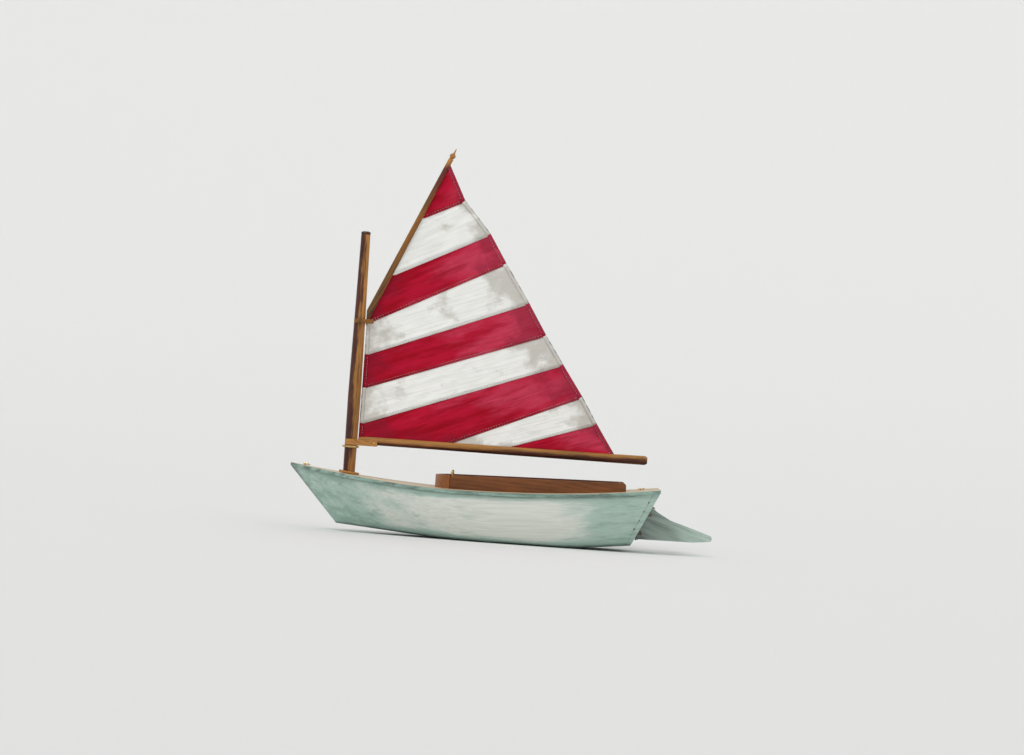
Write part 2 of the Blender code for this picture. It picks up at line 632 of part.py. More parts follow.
def gaff(wood, tip_wood, pivot):
    along = (GAFF_TIP - GAFF_FOOT).normalized()
    length = (GAFF_TIP - GAFF_FOOT).length
    start = GAFF_FOOT - along * 10
    body = length + 10 - 9.0
    profile = ((GAFF_RADIUS, 0.0), (GAFF_RADIUS, 30.0), (GAFF_TIP_RADIUS, body))
    spar = finish(turned(profile, start, along), "gaff", wood, pivot, 35)
    # the foot is cut upright, so that it lies along the mast
    face = MAST_X + mast_radius(166.0) + 0.6
    foot = finish(block((face - 30, face), (-9, 9), (150, 200)), "gaff_foot_cutter", None, pivot)
    heel = finish(block((face - 5, face + 15), (-9, 9), (140, 167.5)), "gaff_heel_cutter", None, pivot)
    bm = block((1.0, 6.0), (-GROOVE_HALF_WIDTH, GROOVE_HALF_WIDTH), (-20, length - 11))
    aft = Vector((along.z, 0, -along.x))
    place = Matrix((aft, (0, 1, 0), along)).transposed().to_4x4()
    bm.transform(Matrix.Translation(GAFF_FOOT) @ place)
    cut(spar, foot, heel, finish(bm, "gaff_groove_cutter", None, pivot))
    knob_start = start + along * (body + GAP)
    knob = ((1.2, 0.0), (2.3, 1.2), (2.5, 2.3), (2.0, 3.5), (0.9, 4.2), (0.6, 6.0), (0.35, 8.6))
    finish(turned(knob, knob_start, along, 12), "gaff_knob", tip_wood, pivot, 50)
    for side, word in ((-1, "port"), (1, "starboard")):
        jaw(f"gaff_jaw_{word}", side, mast_radius(172.0), GAFF_RADIUS, 59.0, (169.5, 173.0), wood, pivot)


def head_point(z):
    """On the sail's head, which lies in the gaff's groove."""
    run = (GAFF_TIP - GAFF_FOOT).normalized()
    return gaff_axis_x(z) + HEAD_OFFSET / run.z


def throat_z():
    """Where the luff meets the head."""
    low, high = 150.0, 200.0
    for _ in range(30):
        middle = (low + high) / 2
        if head_point(middle) < LUFF_X:
            low = middle
        else:
            high = middle
    return low


def belly(x, z):
    """How far the cloth swings out to starboard, nothing at the two spars."""
    head = max(z, SAIL_FOOT_Z)
    across = min(max((x - LUFF_X) / (CLEW_X - LUFF_X), 0.0), 1.0)
    room = lerp(PEAK_Z, SAIL_FOOT_Z, max(x - head_point(PEAK_Z), 0.0) / (CLEW_X - head_point(PEAK_Z)))
    if x < head_point(PEAK_Z):
        run = (GAFF_TIP - GAFF_FOOT).normalized()
        room = GAFF_FOOT.z + (x - HEAD_OFFSET / run.z - GAFF_FOOT.x) * run.z / run.x
    up = min(max((head - SAIL_FOOT_Z) / max(room - SAIL_FOOT_Z, 1.0), 0.0), 1.0)
    return SAIL_BELLY * math.sin(math.pi * up) * (0.35 + 0.65 * math.sin(math.pi * across ** 0.8))


def panel_outlines():
    """Corners of the nine cloth panels from the peak down, clear of each other at the seams."""
    peak = (head_point(PEAK_Z), PEAK_Z)
    throat = (LUFF_X, throat_z())
    tack = (LUFF_X, SAIL_FOOT_Z)
    clew = (CLEW_X, SAIL_FOOT_Z)
    left = []
    for (x, z), _leech in SEAMS:
        if z > throat[1]:
            left.append((head_point(z), z))
        elif x < 60:
            left.append((LUFF_X, z))
        else:
            left.append((x, SAIL_FOOT_Z))
    right = [leech for _left, leech in SEAMS]
    outlines = [[peak, left[0], right[0]]]
    for i in range(1, 8):
        corners = [right[i - 1], left[i - 1]]
        if left[i - 1][1] > throat[1] > left[i][1]:
            corners.append(throat)
        if left[i - 1][1] > tack[1] and left[i][0] > 60 and left[i - 1][0] < 60:
            corners.append(tack)
        corners += [left[i], right[i]]
        outlines.append(corners)
    outlines.append([right[7], left[7], clew])
    return outlines


def shrink(outline, seams_only):
    """Move the edges that are seams inwards by half a gap."""
    middle = Vector((sum(x for x, _z in outline), sum(z for _x, z in outline))) / len(outline)
    shrunk = []
    count = len(outline)
    for i in range(count):
        before, here, after = (Vector(outline[(i + k - 1) % count]) for k in range(3))
        shift = Vector((0.0, 0.0))
        for start, end, seam in ((before, here, seams_only((i - 1) % count)), (here, after, seams_only(i))):
            if seam:
                run = (end - start).normalized()
                inward = Vector((-run.y, run.x))
                if inward.dot(middle - start) < 0:
                    inward = -inward
                shift += inward * (GAP * 0.6)
        shrunk.append(here + shift)
    return shrunk


def sail_panel(name, outline, cloth, pivot):
    bm = bmesh.new()
    verts = [bm.verts.new((x, 0, z)) for x, z in outline]
    bm.faces.new(verts)
    for axis, low, high, step in ((Vector((1, 0, 0)), 70, 250, 30), (Vector((0, 0, 1)), 90, 300, 30)):
        for place in range(low, high, step):
            bmesh.ops.bisect_plane(bm, geom=bm.verts[:] + bm.edges[:] + bm.faces[:], dist=0.01,
                                   plane_co=axis * place, plane_no=axis)
    bmesh.ops.triangulate(bm, faces=bm.faces)
    bmesh.ops.solidify(bm, geom=bm.faces[:], thickness=2 * SAIL_HALF_THICKNESS)
    low = min(v.co.y for v in bm.verts)
    for vert in bm.verts:
        vert.co.y += -low - SAIL_HALF_THICKNESS + belly(vert.co.x, vert.co.z)
    finish(bm, name, cloth, pivot, 35)


def sail(red, white, pivot):
    for i, outline in enumerate(panel_outlines()):
        seams = {(round(x, 3), round(z, 3)) for seam in (i - 1, i) if 0 <= seam < 8
                 for x, z in (SEAMS[seam][1],)}

        def is_seam(edge, outline=outline, seams=seams):
            ends = {tuple(round(v, 3) for v in outline[edge]),
                    tuple(round(v, 3) for v in outline[(edge + 1) % len(outline)])}
            return len(ends & seams) == 1 and not is_leech(ends)
        panel = shrink(outline, is_seam)
        sail_panel(f"sail_panel_{i + 1}", panel, red if i % 2 == 0 else white, pivot)


def is_leech(ends):
    """Whether an edge runs down the free edge of the sail."""
    leech = {(round(x, 3), round(z, 3)) for _left, (x, z) in SEAMS}
    leech.add((round(head_point(PEAK_Z), 3), round(PEAK_Z, 3)))
    leech.add((round(CLEW_X, 3), round(SAIL_FOOT_Z, 3)))
    return ends <= leech


# --- rudder -----------------------------------------------------------------------------------------
def transom_directions():
    foot, top, _floor, _beam = slanted_section(1.0)
    up = (top - foot).normalized()
    aft = Vector((up.z, 0, -up.x))
    base = foot + aft * RUDDER_AXIS_OFFSET
    return base, up, aft


def on_hinge(along, behind=0.0, y=0.0):
    base, up, aft = transom_directions()
    return base + up * along + aft * behind + Vector((0, y, 0))


def hinge_block(behind, y_range, along):
    bm = block(behind, y_range, along)
    base, up, aft = transom_directions()
    place = Matrix((aft, (0, 1, 0), up)).transposed().to_4x4()
    bm.transform(Matrix.Translation(base) @ place)
    return bm


def rudder(paint, pivot):
    top, foot = on_hinge(RUDDER_RANGE[1]), on_hinge(RUDDER_RANGE[0])
    outline = [(foot.x, foot.z), (330.0, 10.8), (344.7, 12.4), (OVERALL_LENGTH, 14.6), (344.6, 16.9),
               (327.0, 22.5), (311.0, 27.3), (300.0, 33.3), (top.x, top.z)]
    bm = plate(outline, -RUDDER_HALF_THICKNESS, RUDDER_HALF_THICKNESS, "y")
    base, _up, aft = transom_directions()
    for vert in bm.verts:
        behind = (vert.co - base).dot(aft)
        vert.co.y *= lerp(1.0, 0.5, min(max(behind / 55, 0), 1))
    blade = finish(bm, "rudder_blade", paint, pivot)
    nose = finish(rod(foot, top, RUDDER_HALF_THICKNESS), "rudder_nose_tool", None, pivot)
    bore = finish(rod(on_hinge(0), on_hinge(45), BORE_RADIUS), "rudder_bore_cutter", None, pivot)
    join(blade, nose)
    cut(blade, bore)
    for i, middle in enumerate(GUDGEONS):
        reach = GUDGEON_HALF_HEIGHT + GAP
        notch = hinge_block((-3.0, 2.1), (-4, 4), (middle - reach, middle + reach))
        cut(blade, finish(notch, f"rudder_notch_cutter_{i}", None, pivot))


def rudder_hinge(brass):
    for word, middle in zip(("lower", "upper"), GUDGEONS):
        low, high = middle - GUDGEON_HALF_HEIGHT, middle + GUDGEON_HALF_HEIGHT
        near = -RUDDER_AXIS_OFFSET + GAP
        body = finish(hinge_block((near, near + 0.75), (-5, 5), (low, high)), f"gudgeon_{word}", brass)
        eye = finish(rod(on_hinge(low - 0.1), on_hinge(high + 0.1), 1.6), f"eye_{word}_tool")
        tongue = finish(hinge_block((near + 0.3, 0.1), (-0.95, 0.95), (low + 0.2, high - 0.2)),
                        f"tongue_{word}_tool")
        bore = finish(rod(on_hinge(low - 5), on_hinge(high + 5), BORE_RADIUS), f"gudgeon_{word}_cutter")
        join(body, tongue, eye)
        cut(body, bore)
    low, high = RUDDER_RANGE[0] - 1.0, RUDDER_RANGE[1] + GAP
    profile = ((RUDDER_ROD_RADIUS, low), (RUDDER_ROD_RADIUS, high), (1.5, high), (1.5, high + 0.8))
    finish(turned(profile, on_hinge(0), on_hinge(10) - on_hinge(0)), "rudder_rod", brass, smooth=35)


# --- the boat ---------------------------------------------------------------------------------------
def main():
    clear_scene()
    hull_paint = material("hull_paint", (0.39, 0.53, 0.46), 0.45)
    rail_paint = material("rail_paint", (0.16, 0.26, 0.21), 0.45)
    rudder_paint = material("rudder_paint", (0.22, 0.32, 0.27), 0.5)
    deck_wood = material("deck_wood", (0.48, 0.33, 0.18), 0.5)
    coaming_wood = material("coaming_wood", (0.19, 0.07, 0.024), 0.45)
    mast_wood = material("mast_wood", (0.14, 0.06, 0.03), 0.5)
    spar_wood = material("spar_wood", (0.30, 0.13, 0.04), 0.5)
    pale_wood = material("pale_wood", (0.50, 0.30, 0.12), 0.5)
    inner_wood = material("inner_wood", (0.42, 0.28, 0.15), 0.6)
    red_cloth = material("red_cloth", (0.42, 0.01, 0.04), 0.8)
    white_cloth = material("white_cloth", (0.78, 0.78, 0.73), 0.8)
    brass = material("brass", (0.62, 0.42, 0.15), 0.35, 1.0)
    iron = material("iron", (0.12, 0.12, 0.13), 0.6, 1.0)

    mast_pivot = pivot_empty("mast_axis", (MAST_X, 0, BOOM_Z))
    rudder_pivot = pivot_empty("rudder_axis", on_hinge(20))
    board_pivot = pivot_empty("board_axis", BOARD_PIVOT)

    hull_shell(hull_paint)
    transom_board(hull_paint)
    deck(deck_wood)
    rails(rail_paint)
    coaming(coaming_wood, brass)
    deck_beams(inner_wood)
    floor(inner_wood, iron)
    thwart(inner_wood)
    board_trunk(inner_wood, brass)
    mast(mast_wood, coaming_wood, brass)
    fittings(brass)
    rudder_hinge(brass)
    centerboard(inner_wood, board_pivot)
    boom(spar_wood, pale_wood, mast_pivot)
    gaff(spar_wood, pale_wood, mast_pivot)
    sail(red_cloth, white_cloth, mast_pivot)
    rudder(rudder_paint, rudder_pivot)


main()
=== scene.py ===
"""Looks for a gaff-rigged wooden toy sailing boat, laid out as an add-on and run as a script."""

import json
import math

import bmesh
import bpy
import numpy as np
from bpy.props import FloatProperty, FloatVectorProperty, IntProperty, PointerProperty
from mathutils import Matrix, Vector


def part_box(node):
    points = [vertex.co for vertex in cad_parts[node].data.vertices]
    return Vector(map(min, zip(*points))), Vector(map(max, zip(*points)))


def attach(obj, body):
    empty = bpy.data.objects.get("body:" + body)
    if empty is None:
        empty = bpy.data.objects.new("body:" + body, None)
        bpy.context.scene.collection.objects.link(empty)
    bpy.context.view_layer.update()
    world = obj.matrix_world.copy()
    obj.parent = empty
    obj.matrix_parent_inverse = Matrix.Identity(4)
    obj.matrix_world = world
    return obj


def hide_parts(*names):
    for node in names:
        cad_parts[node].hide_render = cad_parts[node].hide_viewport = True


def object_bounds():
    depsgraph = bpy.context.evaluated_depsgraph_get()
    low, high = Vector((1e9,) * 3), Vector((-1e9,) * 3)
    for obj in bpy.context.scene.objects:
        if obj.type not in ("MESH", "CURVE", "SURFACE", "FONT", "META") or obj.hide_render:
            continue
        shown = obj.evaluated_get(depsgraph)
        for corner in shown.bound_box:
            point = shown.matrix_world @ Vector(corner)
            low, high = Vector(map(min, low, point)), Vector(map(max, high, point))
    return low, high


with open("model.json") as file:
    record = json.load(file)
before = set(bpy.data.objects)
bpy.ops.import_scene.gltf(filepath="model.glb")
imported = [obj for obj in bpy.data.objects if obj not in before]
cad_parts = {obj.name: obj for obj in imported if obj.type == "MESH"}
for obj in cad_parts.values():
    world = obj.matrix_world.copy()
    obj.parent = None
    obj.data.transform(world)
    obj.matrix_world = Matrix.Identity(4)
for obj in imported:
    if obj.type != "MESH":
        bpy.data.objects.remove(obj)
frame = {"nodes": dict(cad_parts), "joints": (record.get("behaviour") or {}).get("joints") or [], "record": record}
CAD_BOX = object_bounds()

bl_info = {
    "name": "Toy sailing boat",
    "version": (1, 0, 0),
    "blender": (4, 5, 0),
    "location": "3D View > Sidebar > Toy boat",
    "description": "Builds the looks of a gaff-rigged wooden toy sailing boat",
    "category": "Object",
}

X, Y, Z = range(3)
MM = 0.001
CLOSED = 0.26 * MM            # how far a piece is taken towards the one that it meets
MERGED = 0.002 * MM           # points nearer than this are one
STEM_RAKE = 40 * MM           # how far the stem leans forward from keel to sheer
TRANSOM_RAKE = 21 * MM        # how far the transom leans aft from keel to sheer
TRANSOM_NORMAL = Vector((0.905, 0, -0.426))


def srgb(red, green, blue):
    """Display colour, 0 to 255, to the linear values that Blender's colours hold."""
    return tuple((c / 255 / 12.92) if c <= 10 else ((c / 255 + 0.055) / 1.055) ** 2.4
                 for c in (red, green, blue))


# --- settings that a user would change --------------------------------------------------------------
def colour(name, description, *rgb):
    return FloatVectorProperty(name=name, description=description, subtype="COLOR", size=3,
                               min=0.0, max=1.0, default=srgb(*rgb))


def length(name, description, default):
    return FloatProperty(name=name, description=description, subtype="DISTANCE", unit="LENGTH",
                         default=default)


class BoatColours(bpy.types.PropertyGroup):
    hull: colour("Hull green", "Brushed sea-green paint of the hull", 178, 202, 191)
    # On the hull, deep green is laid on as painted shade towards the ends and along the sheer and keel, and pale
    # is laid on amidships as a painted highlight band rather than rubbed paint.
    hull_deep: colour("Hull deep green", "Darker strokes near the ends", 143, 172, 159)
    hull_pale: colour("Hull pale", "Rubbed, chalky middle of the side", 228, 230, 222)
    outline: colour("Outline", "Dark line along the sheer and the edges", 84, 104, 98)
    rudder: colour("Rudder green", "Pale end of the rudder blade", 180, 202, 190)
    rudder_deep: colour("Rudder deep green", "Rudder beside the transom", 140, 152, 146)
    red: colour("Sail red", "Crimson cloth", 192, 16, 52)
    red_deep: colour("Sail deep red", "Darker strokes in the crimson", 160, 0, 28)
    red_pale: colour("Sail pale red", "Rubbed threads of the crimson cloth", 206, 66, 94)
    # Darker tone that the cloth's mottling mixes in at random, more of it towards the leech and the luff.
    red_mottle: colour("Sail red stain", "Weathered patches in the crimson", 134, 24, 48)
    white: colour("Sail white", "Off-white cloth", 250, 251, 247)
    white_shade: colour("Sail grey", "Warm grey mottling near the luff and leech", 205, 201, 193)
    seam_line: colour("Seam line", "Thin dark line along the seams", 96, 92, 90)
    # Dark wood is the mast cap's wood, and is laid on the mast's forward side and the boom's underside as painted
    # shade; tan wood is the small pieces' and the gaff tip's wood, and is laid on the mast's aft side and the
    # boom's top as a painted highlight.
    dark_wood: colour("Dark wood", "Stained side of the mast and foot of the boom", 76, 38, 28)
    tan_wood: colour("Tan wood", "Bare side of the mast and top of the boom", 184, 128, 64)
    gold_wood: colour("Golden wood", "Gaff, below its reddish upper end", 152, 96, 34)
    red_wood: colour("Reddish wood", "Upper end of the gaff", 128, 58, 42)
    chestnut: colour("Chestnut", "Coaming boards", 138, 82, 38)
    chestnut_deep: colour("Deep chestnut", "Grain of the coaming boards", 104, 60, 28)
    deck: colour("Deck", "Pale deck planks", 214, 196, 166)
    deck_deep: colour("Deck grain", "Grain of the deck planks", 184, 160, 124)
    inner: colour("Inner wood", "Plain wood inside the hull", 196, 160, 116)
    inner_deep: colour("Inner grain", "Grain of the plain wood", 150, 108, 68)


class BoatSizes(bpy.types.PropertyGroup):
    plank: length("Deck plank", "Width of a deck plank", 7.4 * MM)
    caulk: length("Caulking", "Gap between two deck planks", 0.5 * MM)
    edge: length("Eased edge", "Radius worn on the edges of wooden pieces", 0.45 * MM)
    cloth: length("Cloth", "Thickness of the sail cloth", 0.42 * MM)
    lap: length("Seam lap", "Overlap of two cloths at a seam", 2.6 * MM)
    hem: length("Hem", "Width of the folded hem on the leech and luff", 3.2 * MM)
    luff_rope: length("Luff", "How far the luff's hem reaches towards the mast", 0.9 * MM)
    belly: length("Belly", "Depth of the sail's curve", 4.6 * MM)
    stitch: length("Stitch", "Length of one stitch", 1.3 * MM)
    across: IntProperty(name="Cells across", description="Cells of a cloth along its length",
                        default=56, min=8, max=200)


class StageSettings(bpy.types.PropertyGroup):
    width: length("View width", "Width of the view at the boat", 0.832)
    lens: FloatProperty(name="Lens", description="Focal length in millimetres", default=180.0)
    roll: FloatProperty(name="Roll", description="How far the view leans", subtype="ANGLE",
                        default=math.radians(4.1))
    key: FloatProperty(name="Key light", description="Strength of the main light", default=1.28)
    fill: FloatProperty(name="Fill light", description="Strength of the second light", default=0.48)
    sky: FloatProperty(name="Sky", description="Strength of the even light all round", default=0.47)


def colours():
    return bpy.context.scene.boat_colours


def sizes():
    return bpy.context.scene.boat_sizes


# --- node trees -------------------------------------------------------------------------------------
class Graph:
    """Adds nodes to a tree, with inputs given as values or as other nodes' outputs."""

    def __init__(self, tree):
        self.tree = tree

    def feed(self, node, socket, value):
        target = node.inputs[socket]
        if isinstance(value, bpy.types.NodeSocket):
            self.tree.links.new(value, target)
        elif target.type == "RGBA" and len(value) == 3:
            target.default_value = (*value, 1.0)
        else:
            target.default_value = value

    def add(self, kind, inputs=(), **settings):
        node = self.tree.nodes.new("ShaderNode" + kind)
        for key, value in settings.items():
            setattr(node, key, value)
        for socket, value in dict(inputs).items():
            self.feed(node, socket, value)
        return node

    def math(self, operation, first, second=0.0, clamp=False):
        node = self.add("Math", {0: first, 1: second}, operation=operation, use_clamp=clamp)
        return node.outputs[0]

    def mix(self, share, first, second, blend="MIX"):
        node = self.add("Mix", {0: share, 6: first, 7: second}, data_type="RGBA", blend_type=blend)
        return node.outputs[2]

    def remap(self, value, low, high, start=0.0, end=1.0, smooth=True):
        kind = "SMOOTHSTEP" if smooth else "LINEAR"
        node = self.add("MapRange", {"Value": value, "From Min": low, "From Max": high,
                                     "To Min": start, "To Max": end}, interpolation_type=kind)
        return node.outputs[0]

    def noise(self, vector, scale, detail=3.0, roughness=0.55):
        node = self.add("TexNoise", {"Vector": vector, "Scale": scale, "Detail": detail,
                                     "Roughness": roughness})
        return node.outputs[0]

    def stretch(self, vector, x, y, z):
        return self.add("Mapping", {"Vector": vector, "Scale": (x, y, z)}).outputs[0]

    def scale(self, vector, factor):
        return self.add("VectorMath", {0: vector, 3: factor}, operation="SCALE").outputs[0]

    def group(self, tree, inputs):
        node = self.tree.nodes.new("ShaderNodeGroup")
        node.node_tree = tree
        for socket, value in inputs.items():
            self.feed(node, socket, value)
        return node.outputs


def effect(name, inputs, outputs):
    """A shader node group with named sockets, and a Graph to fill it."""
    tree = bpy.data.node_groups.new(name, "ShaderNodeTree")
    kinds = {"v": "NodeSocketVector", "c": "NodeSocketColor", "f": "NodeSocketFloat"}
    for label, kind, default in inputs:
        socket = tree.interface.new_socket(label, in_out="INPUT", socket_type=kinds[kind])
        if default is not None:
            socket.default_value = (*default, 1.0) if kind == "c" else default
    for label, kind in outputs:
        tree.interface.new_socket(label, in_out="OUTPUT", socket_type=kinds[kind])
    graph = Graph(tree)
    entry = tree.nodes.new("NodeGroupInput").outputs
    leave = tree.nodes.new("NodeGroupOutput")
    return graph, entry, leave


def shared(name, build):
    """The node group of that name, built the first time that a material asks for it."""
    return bpy.data.node_groups.get(name) or build(name)


def wood_grain(name):
    """Long fibres, growth rings and pores; the grain runs along the vector's X."""
    graph, entry, leave = effect(name, (
        ("Vector", "v", None), ("Light", "c", (0.5, 0.3, 0.2)), ("Dark", "c", (0.2, 0.1, 0.05)),
        ("Rings", "f", 260.0), ("Figure", "f", 0.5)), (("Color", "c"), ("Height", "f")))
    stretched = graph.stretch(entry["Vector"], 0.08, 1.0, 1.0)
    warp = graph.add("TexNoise", {"Vector": stretched, "Scale": 60.0, "Detail": 2.0}).outputs[1]
    bent = graph.add("VectorMath", {0: stretched, 1: graph.scale(warp, 0.012)},
                     operation="ADD").outputs[0]
    rings = graph.add("TexWave", {"Vector": bent, "Scale": entry["Rings"], "Distortion": 2.4,
                                  "Detail": 2.0, "Detail Scale": 1.4}, wave_type="BANDS",
                      bands_direction="DIAGONAL").outputs[1]
    fibres = graph.noise(graph.stretch(entry["Vector"], 18.0, 900.0, 900.0), 1.0, 4.0, 0.65)
    blotch = graph.noise(graph.stretch(entry["Vector"], 14.0, 60.0, 60.0), 1.0, 3.0, 0.6)
    pores = graph.remap(graph.noise(graph.stretch(entry["Vector"], 60.0, 1500.0, 1500.0), 1.0, 1.0),
                        0.62, 0.74)
    figure = graph.math("MULTIPLY", graph.math("SUBTRACT", rings, 0.5), entry["Figure"])
    tone = graph.math("ADD", graph.math("ADD", graph.remap(blotch, 0.25, 0.75), figure),
                      graph.math("MULTIPLY", graph.math("SUBTRACT", fibres, 0.5), 0.9), clamp=True)
    body = graph.mix(tone, entry["Dark"], entry["Light"])
    darker = graph.mix(1.0, body, (0.42, 0.36, 0.32), "MULTIPLY")
    graph.feed(leave, "Color", graph.mix(graph.math("MULTIPLY", pores, 0.55), body, darker))
    graph.feed(leave, "Height", graph.math("SUBTRACT", fibres, graph.math("MULTIPLY", pores, 0.5)))
    return graph.tree


def brush_strokes(name):
    """Hand-brushed colour: long streaks of a deep and a pale tone over the base."""
    graph, entry, leave = effect(name, (
        ("Vector", "v", None), ("Base", "c", (0.5, 0.5, 0.5)), ("Deep", "c", (0.3, 0.3, 0.3)),
        ("Pale", "c", (0.8, 0.8, 0.8)), ("Deep Share", "f", 0.4), ("Pale Share", "f", 0.4),
        ("Along", "f", 16.0), ("Across", "f", 220.0)), (("Color", "c"), ("Height", "f")))
    along, across = entry["Along"], entry["Across"]
    scale = graph.add("CombineXYZ", {0: along, 1: across, 2: across}).outputs[0]
    run = graph.add("VectorMath", {0: entry["Vector"], 1: scale}, operation="MULTIPLY").outputs[0]
    broad = graph.noise(graph.stretch(run, 1.0, 0.35, 0.35), 1.0, 4.0, 0.6)
    streaks = graph.noise(run, 1.0, 5.0, 0.68)
    bristles = graph.noise(graph.stretch(run, 0.7, 5.0, 5.0), 1.0, 2.0, 0.6)
    deep = graph.math("MULTIPLY", graph.remap(graph.math("ADD", streaks, graph.math(
        "MULTIPLY", entry["Deep Share"], 0.45)), 0.56, 0.86), 0.95)
    pale = graph.math("MULTIPLY", graph.remap(graph.math("ADD", broad, graph.math(
        "MULTIPLY", entry["Pale Share"], 0.45)), 0.58, 0.88), 0.9)
    body = graph.mix(pale, entry["Base"], entry["Pale"])
    body = graph.mix(deep, body, entry["Deep"])
    fleck = graph.remap(bristles, 0.3, 0.7, 0.93, 1.06)
    tint = graph.add("CombineXYZ", {0: fleck, 1: fleck, 2: fleck}).outputs[0]
    graph.feed(leave, "Color", graph.mix(1.0, body, tint, "MULTIPLY"))
    graph.feed(leave, "Height", graph.math("ADD", graph.math("MULTIPLY", bristles, 0.6), streaks))
    return graph.tree


def plain_weave(name):
    """Over-and-under threads from a cloth's own UV map, which is in metres."""
    graph, entry, leave = effect(name, (("Vector", "v", None), ("Threads", "f", 2200.0)),
                                 (("Height", "f"),))
    axes = graph.add("SeparateXYZ", {0: graph.scale(entry["Vector"], entry["Threads"])}).outputs
    warp = graph.math("SINE", graph.math("MULTIPLY", axes[0], math.pi))
    weft = graph.math("SINE", graph.math("MULTIPLY", axes[1], math.pi))
    crossing = graph.math("MULTIPLY", warp, weft)
    round_warp = graph.math("ABSOLUTE", warp)
    round_weft = graph.math("ABSOLUTE", weft)
    over = graph.remap(crossing, -0.2, 0.2)
    threads = graph.math("ADD", graph.math("MULTIPLY", over, round_warp),
                         graph.math("MULTIPLY", graph.math("SUBTRACT", 1.0, over), round_weft))
    slub = graph.noise(graph.stretch(entry["Vector"], 40.0, 1400.0, 1.0), 1.0, 2.0)
    graph.feed(leave, "Height", graph.math("ADD", threads, graph.math("MULTIPLY", slub, 0.6)))
    return graph.tree


def scaled(rgb, factor):
    return tuple(min(c * factor, 1.0) for c in rgb[:3])


def surface(name, roughness=0.5, **uniform):
    """A material with its Principled shader, its Graph and its Object coordinates."""
    made = bpy.data.materials.new("boat_" + name)
    made.use_nodes = True
    shader = made.node_tree.nodes["Principled BSDF"]
    shader.inputs["Roughness"].default_value = roughness
    for socket, value in uniform.items():
        shader.inputs[socket.replace("_", " ")].default_value = value
    graph = Graph(made.node_tree)
    place = graph.add("TexCoord").outputs["Object"]
    return made, graph, shader, place


def bumped(graph, shader, height, distance, strength=0.6):
    bump = graph.add("Bump", {"Height": height, "Distance": distance, "Strength": strength})
    graph.feed(shader, "Normal", bump.outputs[0])


def axis_share(graph, place, axis, low, high):
    """0 to 1 along one axis of the boat, between two places in metres."""
    return graph.remap(graph.add("SeparateXYZ", {0: place}).outputs[axis], low, high)


def attribute(graph, name):
    return graph.add("Attribute", attribute_name=name).outputs["Fac"]


def wood(name, light, dark, along="x", rings=260.0, figure=0.5, roughness=0.46, coat=0.12):
    """Varnished or sealed wood whose grain runs along one of the boat's axes."""
    made, graph, shader, place = surface(name, roughness, Coat_Weight=coat, Coat_Roughness=0.28,
                                         Specular_IOR_Level=0.35)
    turn = {"x": (0, 0, 0), "y": (0, 0, math.pi / 2), "z": (0, math.pi / 2, 0)}[along]
    run = graph.add("Mapping", {"Vector": place, "Rotation": turn}).outputs[0]
    grain = graph.group(shared("wood grain", wood_grain), {
        "Vector": run, "Light": light, "Dark": dark, "Rings": rings, "Figure": figure})
    graph.feed(shader, "Base Color", grain["Color"])
    graph.feed(shader, "Roughness", graph.remap(grain["Height"], 0.2, 0.8,
                                                roughness + 0.1, roughness - 0.05))
    bumped(graph, shader, grain["Height"], 0.15 * MM, 0.5)
    return made


def lit_and_shaded_wood(name, light, dark, axis, low, high, along, edge=0.35):
    """Wood with painted shade on one side and a painted highlight on the other: the ragged edge between them lies
    between two places.
    """
    made, graph, shader, place = surface(name, 0.5, Coat_Weight=0.08, Coat_Roughness=0.3,
                                         Specular_IOR_Level=0.3)
    turn = {"x": (0, 0, 0), "z": (0, math.pi / 2, 0)}[along]
    run = graph.add("Mapping", {"Vector": place, "Rotation": turn}).outputs[0]
    group = shared("wood grain", wood_grain)
    # Lit side: this lighter grain is a painted highlight.
    lit_side = graph.group(group, {"Vector": run, "Light": light, "Dark": scaled(light, 0.55),
                               "Rings": 420.0, "Figure": 0.35})
    # Shaded side: a darker copy of the grain, laid on as painted shade rather than a stain.
    darker_tone = graph.group(group, {"Vector": run, "Light": scaled(dark, 1.5), "Dark": scaled(dark, 0.6),
                                "Rings": 420.0, "Figure": 0.4})
    ragged = graph.noise(graph.stretch(run, 22.0, 260.0, 260.0), 1.0, 4.0, 0.65)
    side = graph.add("SeparateXYZ", {0: place}).outputs[axis]
    across = graph.remap(side, low, high, smooth=False)
    share = graph.remap(graph.math("ADD", across, graph.math("MULTIPLY", graph.math(
        "SUBTRACT", ragged, 0.5), 1.6)), 0.5 - edge / 2, 0.5 + edge / 2)
    # Painted shade on the low side of the axis, painted highlight on the high side.
    graph.feed(shader, "Base Color", graph.mix(share, darker_tone["Color"], lit_side["Color"]))
    bumped(graph, shader, lit_side["Height"], 0.2 * MM, 0.6)
    return made


